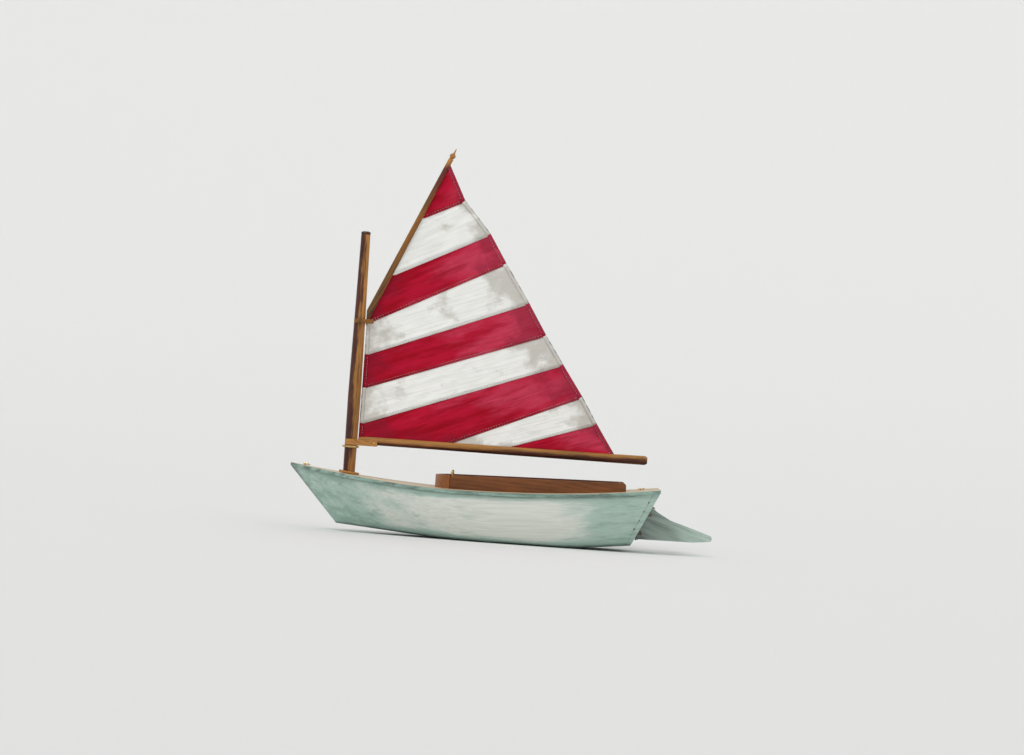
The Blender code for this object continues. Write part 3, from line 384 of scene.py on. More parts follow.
def hull_paint():
    """Brushed green with a painted highlight band amidships, painted shade towards the ends and along the sheer
    and keel, and a dark line on the edges.
    """
    tint = colours()
    made, graph, shader, place = surface("hull_paint", 0.5, Coat_Weight=0.12, Coat_Roughness=0.35)
    height, along = attribute(graph, "height_share"), attribute(graph, "length_share")
    # Painted highlight: a pale band amidships, clear of the sheer and the keel.
    middle = graph.math("MULTIPLY", graph.remap(along, 0.06, 0.42), graph.remap(along, 0.95, 0.62))
    band = graph.math("MULTIPLY", graph.remap(height, 0.02, 0.2), graph.remap(height, 0.98, 0.8))
    highlight_band = graph.math("MULTIPLY", middle, band)
    # Painted shade: more deep-green streaks towards the bow and stern, and a little more near the sheer and the
    # keel.
    shaded_ends = graph.math("MAXIMUM", graph.remap(along, 0.34, 0.04),
                      graph.remap(along, 0.7, 0.98, 0.0, 0.8))
    shaded_rims = graph.math("MAXIMUM", graph.remap(height, 0.75, 1.0), graph.remap(height, 0.2, 0.0))
    deep = graph.math("ADD", graph.math("MULTIPLY", shaded_ends, 0.42), graph.math("MULTIPLY", shaded_rims, 0.2))
    paint = graph.group(shared("brush strokes", brush_strokes), {
        "Vector": graph.add("Mapping", {"Vector": place, "Rotation": (0, 0.06, 0)}).outputs[0],
        "Base": tint.hull, "Deep": tint.hull_deep, "Pale": tint.hull_pale,
        "Deep Share": deep, "Pale Share": highlight_band, "Along": 13.0, "Across": 150.0})
    wobble = graph.noise(graph.stretch(place, 60.0, 60.0, 200.0), 1.0, 3.0)
    line = graph.math("MAXIMUM", graph.remap(height, 0.93, 1.0), graph.remap(height, 0.07, 0.015))
    line = graph.math("MAXIMUM", line, graph.remap(along, 0.02, 0.004))
    line = graph.math("MULTIPLY", line, graph.remap(wobble, 0.3, 0.55, 0.25, 0.8))
    graph.feed(shader, "Base Color", graph.mix(line, paint["Color"], tint.outline))
    graph.feed(shader, "Roughness", graph.remap(paint["Height"], 0.4, 1.2, 0.58, 0.44))
    bumped(graph, shader, paint["Height"], 0.25 * MM, 0.55)
    return made


def solid_paint(name, base, deep, pale, roughness=0.5):
    """Opaque paint, brushed on by hand."""
    made, graph, shader, place = surface(name, roughness, Coat_Weight=0.1, Coat_Roughness=0.35)
    paint = graph.group(shared("brush strokes", brush_strokes), {
        "Vector": place, "Base": base, "Deep": deep, "Pale": pale, "Deep Share": 0.4,
        "Pale Share": 0.25, "Along": 30.0, "Across": 260.0})
    graph.feed(shader, "Base Color", paint["Color"])
    bumped(graph, shader, paint["Height"], 0.2 * MM, 0.5)
    return made


def rudder_paint():
    """Grey-green by the hinge, running out to the hull's green at the tail."""
    tint = colours()
    low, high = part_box("rudder_blade")
    made, graph, shader, place = surface("rudder_paint", 0.52, Coat_Weight=0.1, Coat_Roughness=0.35)
    tail = axis_share(graph, place, X, low.x, high.x - 12 * MM)
    leaning = graph.add("Mapping", {"Vector": place, "Rotation": (0, -0.28, 0)}).outputs[0]
    group = shared("brush strokes", brush_strokes)
    near = graph.group(group, {"Vector": leaning, "Base": scaled(tint.rudder_deep, 1.25),
                               "Deep": scaled(tint.rudder_deep, 0.6), "Pale": tint.hull_deep,
                               "Deep Share": 0.45, "Pale Share": 0.2, "Along": 26.0, "Across": 240.0})
    far = graph.group(group, {"Vector": leaning, "Base": tint.rudder, "Deep": tint.rudder_deep,
                              "Pale": tint.hull_pale, "Deep Share": 0.35, "Pale Share": 0.3,
                              "Along": 26.0, "Across": 240.0})
    graph.feed(shader, "Base Color", graph.mix(tail, near["Color"], far["Color"]))
    bumped(graph, shader, near["Height"], 0.2 * MM, 0.5)
    return made


def cloth(name, base, deep, pale, darker_tone, mottling, dyed):
    """Woven cotton: streaks along the panel, mottling by the free edges, dark lines on the seams."""
    made, graph, shader, place = surface(name, 0.86, Sheen_Weight=0.06, Sheen_Roughness=0.5,
                                         Specular_IOR_Level=0.15)
    woven = graph.add("UVMap", uv_map="cloth").outputs[0]
    seam, free = attribute(graph, "seam_distance"), attribute(graph, "free_edge")
    run = attribute(graph, "run_share")
    deep_share = graph.remap(run, 0.0, 0.9, 0.62, 0.12, False) if dyed else 0.0
    pale_share = graph.remap(run, 0.15, 1.0, 0.1, 0.78, False) if dyed else 0.3
    strokes = graph.group(shared("brush strokes", brush_strokes), {
        "Vector": woven, "Base": base, "Deep": deep, "Pale": pale,
        "Deep Share": deep_share, "Pale Share": pale_share,
        "Along": 18.0 if dyed else 45.0, "Across": 150.0 if dyed else 110.0})
    cloudy = graph.noise(graph.stretch(place, 1.0, 1.0, 1.25), 42.0, 5.0, 0.62)
    cloudy = graph.math("ADD", cloudy, graph.math("MULTIPLY", free, 0.3))
    shade = graph.math("MULTIPLY", graph.remap(cloudy, 0.56, 0.76), mottling)
    body = graph.mix(shade, strokes["Color"], darker_tone)
    broken = graph.noise(place, 190.0, 3.0)
    width = graph.remap(broken, 0.35, 0.65, 0.1 * MM, 0.8 * MM)
    line = graph.remap(graph.math("SUBTRACT", seam, width), 0.45 * MM, 0.0)
    line = graph.math("MULTIPLY", line, graph.remap(broken, 0.32, 0.6, 0.25, 0.9))
    graph.feed(shader, "Base Color", graph.mix(line, body, colours().seam_line))
    weave = graph.group(shared("plain weave", plain_weave), {"Vector": woven, "Threads": 2200.0})
    lumps = graph.noise(graph.stretch(place, 1.0, 1.0, 1.3), 210.0, 4.0, 0.6)
    lumps = graph.math("MULTIPLY", lumps, 5.0 if dyed else 9.0)
    brushed = graph.math("MULTIPLY", strokes["Height"], 0.5 if dyed else 0.15)
    height = graph.math("ADD", brushed, graph.math("ADD", weave["Height"], lumps))
    bumped(graph, shader, height, 0.12 * MM, 0.6)
    return made


def metal(name, rgb, dull, roughness, metallic=1.0):
    """Metal that has dulled in patches."""
    made, graph, shader, place = surface(name, roughness, Metallic=metallic)
    patches = graph.noise(place, 260.0, 4.0, 0.6)
    fine = graph.noise(place, 2600.0, 3.0)
    tarnish = graph.remap(patches, 0.42, 0.72)
    graph.feed(shader, "Base Color", graph.mix(tarnish, rgb, dull))
    graph.feed(shader, "Roughness", graph.remap(patches, 0.3, 0.7, roughness - 0.08, roughness + 0.2))
    bumped(graph, shader, fine, 0.05 * MM, 0.4)
    return made


def gaff_wood():
    """Golden brown with an olive shade, reddish towards the peak."""
    tint = colours()
    low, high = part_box("gaff")
    made, graph, shader, place = surface("gaff_wood", 0.5, Coat_Weight=0.08, Coat_Roughness=0.3,
                                         Specular_IOR_Level=0.3)
    lean = math.atan2(high.x - low.x, high.z - low.z)
    run = graph.add("Mapping", {"Vector": place, "Rotation": (0, math.pi / 2 - lean, 0)}).outputs[0]
    group = shared("wood grain", wood_grain)
    gold = graph.group(group, {"Vector": run, "Light": scaled(tint.gold_wood, 1.25),
                               "Dark": (0.075, 0.045, 0.018), "Rings": 380.0, "Figure": 0.5})
    rusty = graph.group(group, {"Vector": run, "Light": tint.red_wood,
                                "Dark": scaled(tint.red_wood, 0.5), "Rings": 380.0, "Figure": 0.4})
    upper = axis_share(graph, place, Z, low.z + (high.z - low.z) * 0.7, high.z - 12 * MM)
    tip = axis_share(graph, place, Z, high.z - 10 * MM, high.z - 2 * MM)
    body = graph.mix(upper, gold["Color"], rusty["Color"])
    graph.feed(shader, "Base Color", graph.mix(tip, body, tint.tan_wood))
    bumped(graph, shader, gold["Height"], 0.2 * MM, 0.6)
    return made


def mast_wood():
    low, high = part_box("mast")
    # Dark forward side is painted shade, tan aft side a painted highlight.
    return lit_and_shaded_wood("mast_wood", scaled(colours().tan_wood, 1.2), colours().dark_wood, X,
                         low.x - 0.6 * MM, high.x + 0.6 * MM, "z")


def boom_wood():
    low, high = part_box("boom")
    # Dark underside is painted shade, tan top a painted highlight.
    return lit_and_shaded_wood("boom_wood", colours().tan_wood, colours().dark_wood, Z,
                         low.z, high.z, "x", 0.5)


def finish_of(name):
    """Each finish is made once and shared by the pieces that have it."""
    if "boat_" + name in bpy.data.materials:
        return bpy.data.materials["boat_" + name]
    if name in OWN_FINISHES:
        return OWN_FINISHES[name]()
    tint = colours()
    maker, *values = {
        "rail_paint": (solid_paint, tint.hull_deep, tint.outline, tint.hull),
        "tan_wood": (wood, scaled(tint.tan_wood, 1.15), scaled(tint.tan_wood, 0.6)),
        "coaming_wood": (wood, tint.chestnut, tint.chestnut_deep, "x", 180.0, 0.45),
        "cross_wood": (wood, scaled(tint.chestnut, 1.3), tint.chestnut_deep, "y", 180.0, 0.45),
        "cap_wood": (wood, scaled(tint.dark_wood, 1.3), scaled(tint.dark_wood, 0.6), "z"),
        "deck_wood": (wood, tint.deck, tint.deck_deep, "x", 240.0, 0.5, 0.5, 0.1),
        "inner_wood": (wood, tint.inner, tint.inner_deep, "x", 200.0, 0.5, 0.55, 0.0),
        "beam_wood": (wood, tint.inner, tint.inner_deep, "y", 200.0, 0.5, 0.55, 0.0),
        "red_cloth": (cloth, tint.red, tint.red_deep, tint.red_pale, tint.red_mottle, 0.5, True),
        "white_cloth": (cloth, tint.white, scaled(tint.white, 0.93), (1.0, 1.0, 0.98),
                        tint.white_shade, 0.85, False),
        "thread": (solid_paint, tint.white_shade, tint.seam_line, tint.white, 0.8),
        "caulking": (solid_paint, (0.03, 0.028, 0.026), (0.01, 0.01, 0.01), (0.07, 0.06, 0.05), 0.75),
        "brass": (metal, (0.72, 0.50, 0.20), (0.34, 0.20, 0.08), 0.3),
        "bronze": (metal, (0.22, 0.19, 0.13), (0.12, 0.12, 0.10), 0.6, 0.75),
        "iron": (metal, (0.13, 0.13, 0.14), (0.10, 0.05, 0.03), 0.62, 0.7),
    }[name]
    return maker(name, *values)


OWN_FINISHES = {"hull_paint": hull_paint, "rudder_paint": rudder_paint, "mast_wood": mast_wood,
                "boom_wood": boom_wood, "gaff_wood": gaff_wood}


# --- making pieces ----------------------------------------------------------------------------------
def copied(node):
    """A CAD node's mesh as a bmesh, its loose triangles merged and flat areas made one face."""
    bm = bmesh.new()
    bm.from_mesh(frame["nodes"][node].data)
    bmesh.ops.remove_doubles(bm, verts=bm.verts, dist=MERGED)
    bmesh.ops.dissolve_limit(bm, angle_limit=math.radians(0.6), verts=bm.verts, edges=bm.edges)
    return bm


def body_name(node):
    bodies = frame["record"]["behaviour"]["bodies"]
    return next(name for name, nodes in bodies.items() if node in nodes)


def slot_name(node):
    return next(part["material_slot"] for part in frame["record"]["subparts"] if part["node"] == node)


def piece(name, bm, finishes, body, slot, ease=0.0, segments=2, angle=32.0, smooth=38.0):
    """A bmesh in the boat's metres as a named piece that rides on a body."""
    mesh = bpy.data.meshes.new(name)
    bm.to_mesh(mesh)
    bm.free()
    made = bpy.data.objects.new(name, mesh)
    bpy.context.scene.collection.objects.link(made)
    for finish in [finishes] if isinstance(finishes, str) else finishes:
        mesh.materials.append(finish_of(finish))
    mesh.shade_smooth()
    mesh.set_sharp_from_angle(angle=math.radians(smooth))
    if ease:
        eased = made.modifiers.new("eased edges", "BEVEL")
        eased.width = ease
        eased.segments = segments
        eased.limit_method = "ANGLE"
        eased.angle_limit = math.radians(angle)
        eased.harden_normals = True
        eased.miter_outer = "MITER_ARC"
    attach(made, body)
    return made


def push(bm, direction, distance):
    """Slide the faces that look one way, to close the gap that solids keep."""
    direction = Vector(direction).normalized()
    verts = {v for face in bm.faces if face.normal.dot(direction) > 0.7 for v in face.verts}
    bmesh.ops.translate(bm, verts=list(verts), vec=direction * distance)


def from_node(node, finish, ease=None, closed_to=None, **shape):
    """A CAD node made again with eased edges and its own finish."""
    bm = copied(node)
    if closed_to:
        bm.normal_update()
        push(bm, closed_to, CLOSED)
    for face in bm.faces:
        face.material_index = 0
    made = piece(node + "_finished", bm, finish, body_name(node), slot_name(node),
                 sizes().edge if ease is None else ease, **shape)
    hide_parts(node)
    return made


def keep_between(bm, axis, low, high):
    """Cut a closed bmesh down to the slice between two places, and close it again."""
    normal = Vector([float(i == axis) for i in range(3)])
    for place, facing in ((low, -normal), (high, normal)):
        if place is None:
            continue
        cut = bmesh.ops.bisect_plane(bm, geom=bm.verts[:] + bm.edges[:] + bm.faces[:],
                                     dist=0.001 * MM, plane_co=normal * place, plane_no=facing,
                                     clear_outer=True)
        edges = [e for e in cut["geom_cut"] if isinstance(e, bmesh.types.BMEdge)]
        if edges:
            bmesh.ops.holes_fill(bm, edges=edges, sides=0)
    bmesh.ops.recalc_face_normals(bm, faces=bm.faces)
    return bm


def joined(parts):
    """Several bmeshes as one."""
    whole = bmesh.new()
    for part in parts:
        mesh = bpy.data.meshes.new("part")
        part.to_mesh(mesh)
        part.free()
        whole.from_mesh(mesh)
        bpy.data.meshes.remove(mesh)
    return whole


def planks(node, axis, low, high, width, gap):
    """A flat CAD node sawn into planks with narrow gaps."""
    count = max(round((high - low) / width), 1)
    parts = []
    for i in range(count):
        start, end = (low + (high - low) * k / count for k in (i, i + 1))
        part = keep_between(copied(node), axis, start + gap / 2 if i else None,
                            end - gap / 2 if i < count - 1 else None)
        if part.faces:
            parts.append(part)
        else:
            part.free()
    return joined(parts)


def spun(profile, start, direction, sides):
    """(radius, distance) pairs turned about a line; an end on the line closes there."""
    bm = bmesh.new()
    verts = [bm.verts.new((radius, 0, along)) for radius, along in profile]
    edges = [bm.edges.new(pair) for pair in zip(verts, verts[1:])]
    bmesh.ops.spin(bm, geom=verts + edges, cent=(0, 0, 0), axis=(0, 0, 1), dvec=(0, 0, 0),
                   angle=math.tau, steps=sides, use_merge=True)
    bmesh.ops.remove_doubles(bm, verts=bm.verts, dist=MERGED)
    bmesh.ops.recalc_face_normals(bm, faces=bm.faces)
    turn = Vector((0, 0, 1)).rotation_difference(Vector(direction).normalized()).to_matrix().to_4x4()
    bmesh.ops.transform(bm, verts=bm.verts, matrix=Matrix.Translation(start) @ turn)
    return bm


def dome(place, direction, radius, height, sides=14):
    """A nail's or screw's low round head."""
    profile = [(0.0, -0.15 * radius), (radius, -0.15 * radius), (radius, 0.0)]
    profile += [(radius * math.cos(t), height * math.sin(t)) for t in (0.4, 0.8, 1.2)]
    profile.append((0.0, height))
    return spun(profile, place, direction, sides)


def middle_of(node):
    low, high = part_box(node)
    return (low + high) / 2


def towards(first, second):
    """Direction from one node's middle to another's."""
    return (middle_of(second) - middle_of(first)).normalized()


# --- the hull's lines, read from the frame ----------------------------------------------------------
class HullLines:
    """Sheer and keel heights along the hull."""

    def __init__(self):
        points = np.array([vert.co for node in ("hull_shell", "transom_board")
                           for vert in frame["nodes"][node].data.vertices])
        self.start, self.end = points[:, 0].min(), points[:, 0].max()
        self.stations = np.linspace(self.start, self.end, 60)
        reach = (self.stations[1] - self.stations[0]) * 1.2
        near = [points[np.abs(points[:, 0] - x) < reach, 2] for x in self.stations]
        self.sheers = np.array([z.max() for z in near])
        self.keels = np.array([z.min() for z in near])

    def at(self, values, x):
        return float(np.interp(x, self.stations, values))


LINES = HullLines()


def mark_shares(bm):
    """Where each point of the hull stands along and up its side, for the paint."""
    height = bm.verts.layers.float.new("height_share")
    along = bm.verts.layers.float.new("length_share")
    for vert in bm.verts:
        keel, sheer = LINES.at(LINES.keels, vert.co.x), LINES.at(LINES.sheers, vert.co.x)
        vert[height] = (vert.co.z - keel) / max(sheer - keel, MM)
        lean = (vert.co.z - LINES.keels.min()) / (LINES.sheers.max() - LINES.keels.min())
        fore = LINES.start + (1 - lean) * STEM_RAKE
        aft = LINES.end - (1 - lean) * TRANSOM_RAKE
        vert[along] = (vert.co.x - fore) / (aft - fore)


class Maker(bpy.types.Operator):
    """Shared by the boat's makers: runs build and stops the script if it fails."""
    bl_options = {"REGISTER", "UNDO"}

    def execute(self, context):
        self.build(context)
        return {"FINISHED"}


VIEW_AIM = (174.2 * MM, 134.1 * MM)     # middle of the view: aft of the bow's tip, and up
FLOOR_RADIUS = 6.0                      # flat part of the floor, and then the wall's curve
LIGHTS = (      # name, azimuth and elevation in degrees, setting, share of it, softness in degrees
    ("key", -42, 48, "key", 1.0, 24),
    ("fill", 50, 30, "fill", 1.0, 60),
    ("back", 170, 50, "fill", 0.8, 50),
)


class TOYBOAT_OT_stage(Maker):
    """Pale floor, soft studio light and the camera"""
    bl_idname = "toyboat.stage"
    bl_label = "Stage"

    def build(self, context):
        context.scene.view_settings.view_transform = "Standard"
        self.camera(context.scene, context.scene.boat_stage)
        self.floor(context.scene)
        self.lights(context.scene, context.scene.boat_stage)

    def camera(self, scene, stage):
        """Level with the boat and square to its port side, leaning a little."""
        lens = bpy.data.cameras.new("camera")
        lens.lens = stage.lens
        lens.clip_end = 100.0
        camera = bpy.data.objects.new("camera", lens)
        scene.collection.objects.link(camera)
        scene.camera = camera
        away = stage.width * stage.lens / lens.sensor_width
        aim = Vector((CAD_BOX[0].x + VIEW_AIM[0], 0.0, VIEW_AIM[1]))
        right = Vector((math.cos(stage.roll), 0, math.sin(stage.roll)))
        up = Vector((-math.sin(stage.roll), 0, math.cos(stage.roll)))
        back = Vector((0, -1, 0))
        turn = Matrix((right, up, back)).transposed().to_4x4()
        camera.matrix_world = Matrix.Translation(aim + back * away) @ turn

    def floor(self, scene):
        """A pale floor that curves up into a wall all round."""
        bowl = [(0.0, 0.0)]
        for i in range(11):
            angle = math.pi / 2 * i / 10
            bowl.append((FLOOR_RADIUS * (1 + math.sin(angle)), FLOOR_RADIUS * (1 - math.cos(angle))))
        bm = spun(bowl, Vector(), (0, 0, 1), 64)
        if min(bm.faces, key=lambda face: face.calc_center_median().z).normal.z < 0:
            bmesh.ops.reverse_faces(bm, faces=bm.faces[:])
        mesh = bpy.data.meshes.new("floor")
        bm.to_mesh(mesh)
        bm.free()
        mesh.shade_smooth()
        floor = bpy.data.objects.new("floor", mesh)
        scene.collection.objects.link(floor)
        paper, _graph, shader, _place = surface("studio_paper", 0.9)
        shader.inputs["Base Color"].default_value = (0.80, 0.80, 0.79, 1.0)
        mesh.materials.append(paper)

    def lights(self, scene, stage):
        for name, azimuth, elevation, setting, share, softness in LIGHTS:
            light = bpy.data.lights.new(name, "SUN")
            light.energy = getattr(stage, setting) * share
            light.angle = math.radians(softness)
            lamp = bpy.data.objects.new(name, light)
            scene.collection.objects.link(lamp)
            a, e = math.radians(azimuth), math.radians(elevation)
            toward = Vector((math.sin(a) * math.cos(e), -math.cos(a) * math.cos(e), math.sin(e)))
            lamp.rotation_euler = toward.to_track_quat("Z", "Y").to_euler()
        world = bpy.data.worlds.new("studio")
        world.use_nodes = True
        sky = world.node_tree.nodes["Background"]
        sky.inputs["Color"].default_value = (1.0, 1.0, 1.0, 1.0)
        sky.inputs["Strength"].default_value = stage.sky
        scene.world = world


NAILS = (12 * MM, 7.4 * MM, 5)          # height of the lowest transom nail, pitch and count
TRANSOM_HEIGHTS = (5 * MM, 52 * MM)     # between which the transom's edge is straight


class TOYBOAT_OT_hull(Maker):
    """Carved hull, transom board, rubbing rails and the nails that hold the transom"""
    bl_idname = "toyboat.hull"
    bl_label = "Hull"

    def build(self, context):
        for node in ("hull_shell", "transom_board"):
            self.painted(node)
        for node in ("rail_port", "rail_starboard"):
            from_node(node, "rail_paint", 0.55 * MM, segments=3)
        heads = []
        first, pitch, count = NAILS
        foot, top = TRANSOM_HEIGHTS
        for side in (-1, 1):
            for i in range(count):
                height = first + i * pitch
                x = LINES.end - TRANSOM_RAKE * (1 - (height - foot) / (top - foot)) - 4.5 * MM
                place = Vector((x, side * (self.reach(x, height) + 0.05 * MM), height))
                heads.append(dome(place, (0, side, -0.25), 0.75 * MM, 0.35 * MM, 12))
        piece("transom_nails", joined(heads), "iron", "hull", "iron")

    def painted(self, node):
        """Paint outside, and plain wood on the faces that look into the boat."""
        bm = copied(node)
        bm.normal_update()
        if node == "transom_board":
            push(bm, (-1, 0, 0), CLOSED)
        mark_shares(bm)
        for face in bm.faces:
            center, normal = face.calc_center_median(), face.normal
            side = math.copysign(1.0, center.y)
            inward = normal.y * side < -0.05 or (normal.z > 0.3 and center.z < 30 * MM)
            if node == "transom_board":
                inward = normal.x < -0.5
            face.material_index = 1 if inward else 0
        made = piece(node + "_painted", bm, ("hull_paint", "inner_wood"), "hull", "hull_paint",
                     0.3 * MM, angle=50.0, smooth=42.0)
        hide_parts(node)

    def reach(self, x, height):
        """Half width of the painted side at a place."""
        points = [v.co for v in frame["nodes"]["transom_board"].data.vertices if v.co.y > 0]
        close = sorted(points, key=lambda p: (p.z - height) ** 2 + 0.2 * (p.x - x) ** 2)[:6]
        above = [p for p in close if p.z >= height] or close
        below = [p for p in close if p.z < height] or close
        top, foot = above[0], below[0]
        if abs(top.z - foot.z) < 0.01 * MM:
            return top.y
        return foot.y + (top.y - foot.y) * (height - foot.z) / (top.z - foot.z)


class TOYBOAT_OT_deck(Maker):
    """Planked deck with caulked seams, and the beams and carlins under it"""
    bl_idname = "toyboat.deck"
    bl_label = "Deck"

    def build(self, context):
        size = sizes()
        low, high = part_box("deck")
        bm = planks("deck", Y, low.y, high.y, size.plank, size.caulk)
        laid = piece("deck_planks", bm, "deck_wood", "hull", "deck_wood", 0.12 * MM, segments=1)
        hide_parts("deck")
        bed = copied("deck")
        for vert in bed.verts:
            vert.co.y *= 0.985
            vert.co.z -= 0.35 * MM
        for face in bed.faces:
            face.material_index = 0
        keep_between(bed, X, low.x + 1.5 * MM, high.x - 1.5 * MM)
        piece("deck_caulking", bed, "caulking", "hull", "deck_wood")
        for node in ("beam_mast", "beam_fore", "beam_aft"):
            from_node(node, "beam_wood")
        for node in ("carlin_port", "carlin_starboard"):
            from_node(node, "inner_wood")


class TOYBOAT_OT_coaming(Maker):
    """Bent and straight coaming boards with their corner pins"""
    bl_idname = "toyboat.coaming"
    bl_label = "Coaming"

    def build(self, context):
        for node in ("coaming_port", "coaming_starboard"):
            from_node(node, "coaming_wood", 0.6 * MM, segments=3)
        for node in ("coaming_fore", "coaming_aft"):
            from_node(node, "cross_wood", 0.6 * MM, segments=3)
        for node in ("coaming_pin_port", "coaming_pin_starboard"):
            from_node(node, "brass", 0.2 * MM)


FLOORBOARD = 7.2 * MM


class TOYBOAT_OT_cockpit(Maker):
    """Floorboards, floor timbers, ballast, seat and the centreboard's trunk"""
    bl_idname = "toyboat.cockpit"
    bl_label = "Cockpit"

    def build(self, context):
        for node in ("floorboard_port", "floorboard_starboard"):
            low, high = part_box(node)
            bm = planks(node, Y, low.y, high.y, FLOORBOARD, sizes().caulk)
            laid = piece(node + "_planks", bm, "inner_wood", "hull", "inner_wood", 0.25 * MM)
            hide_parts(node)
        for node in ("floor_timber_fore", "floor_timber_aft", "thwart"):
            from_node(node, "beam_wood")
        for node in ("trunk_side_port", "trunk_side_starboard", "trunk_cap"):
            from_node(node, "inner_wood")
        for node in ("trunk_post_fore", "trunk_post_aft"):
            from_node(node, "inner_wood", 0.2 * MM)
        for node in ("ballast_port", "ballast_starboard"):
            from_node(node, "iron", 0.5 * MM)
        from_node("board_pin", "brass", 0.2 * MM)
        low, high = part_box("trunk_cap")
        places = [(low.x + (high.x - low.x) * (i + 0.5) / 4, side * 3.7 * MM, high.z)
                  for i in range(4) for side in (-1, 1)]
        low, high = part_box("thwart")
        places += [(x, side * 23 * MM, high.z)
                   for x in (low.x + 4 * MM, high.x - 4 * MM) for side in (-1, 1)]
        heads = [dome(Vector(place), (0, 0, 1), 0.8 * MM, 0.3 * MM) for place in places]
        piece("cockpit_screws", joined(heads), "brass", "hull", "brass")


class TOYBOAT_OT_centreboard(Maker):
    """Lifting board"""
    bl_idname = "toyboat.centreboard"
    bl_label = "Centreboard"

    def build(self, context):
        from_node("centerboard", "inner_wood", 0.5 * MM, segments=3)


class TOYBOAT_OT_mast(Maker):
    """Mast, its cap, step and partner ring, and the fittings on it"""
    bl_idname = "toyboat.mast"
    bl_label = "Mast"

    def build(self, context):
        from_node("mast", "mast_wood", 0.2 * MM, angle=50.0)
        from_node("mast_cap", "cap_wood", 0.2 * MM, closed_to=(0, 0, -1))
        from_node("mast_partner", "tan_wood", 0.4 * MM)
        from_node("mast_step", "cross_wood")
        from_node("jaw_saddle", "brass", 0.3 * MM)
        from_node("halyard_cleat", "brass", 0.35 * MM, segments=3)


class TOYBOAT_OT_spars(Maker):
    """Boom and gaff with their jaws, and the turned knob on the gaff"""
    bl_idname = "toyboat.spars"
    bl_label = "Boom and gaff"

    def build(self, context):
        from_node("boom", "boom_wood", 0.15 * MM, angle=45.0)
        from_node("gaff", "gaff_wood", 0.15 * MM, angle=45.0)
        for node in ("boom_jaw_port", "boom_jaw_starboard"):
            from_node(node, "tan_wood", 0.6 * MM, segments=3)
        for node in ("gaff_jaw_port", "gaff_jaw_starboard"):
            from_node(node, "gaff_wood", 0.5 * MM, segments=3)
        from_node("gaff_knob", "tan_wood", 0.0, closed_to=towards("gaff_knob", "gaff"))
        rivets = []
        for spar, radius, steps in (("boom", 0.8 * MM, (2.4 * MM, 6.2 * MM)),
                                    ("gaff", 0.6 * MM, (1.4 * MM,))):
            for word in ("port", "starboard"):
                rivets += self.rivets(f"{spar}_jaw_{word}", radius, steps)
        piece("jaw_rivets", joined(rivets), "brass", "rig", "brass")

    def rivets(self, node, radius, steps):
        """Rivet heads on a jaw's outer face, at some distances from its tail."""
        low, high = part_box(node)
        side = math.copysign(1.0, low.y + high.y)
        outer = max(abs(v.co.y) for v in frame["nodes"][node].data.vertices
                    if v.co.x > high.x - 0.2 * MM)
        return [dome(Vector((high.x - step, side * (outer + step * 0.12), (low.z + high.z) / 2)),
                     (0, side, 0), radius, 0.4 * MM) for step in steps]


PANELS = 9
LUFF_PANELS = (2, 3, 4, 5, 6)       # cloths that reach the mast, counted from 0 at the peak
ROWS = 14                           # cells of a cloth across its width
HEM_OVER = 0.15 * MM                # how far a hem's fold stands past the cloth's edge
HEM_LINE = 0.4 * MM                 # keeps the dark seam line off the hem's outer edge
SEAM_LIFT = 0.26 * MM               # how far each cloth of a seam stands to its own side
SEAM_FADE = 3.2 * MM
THREAD = 0.26 * MM


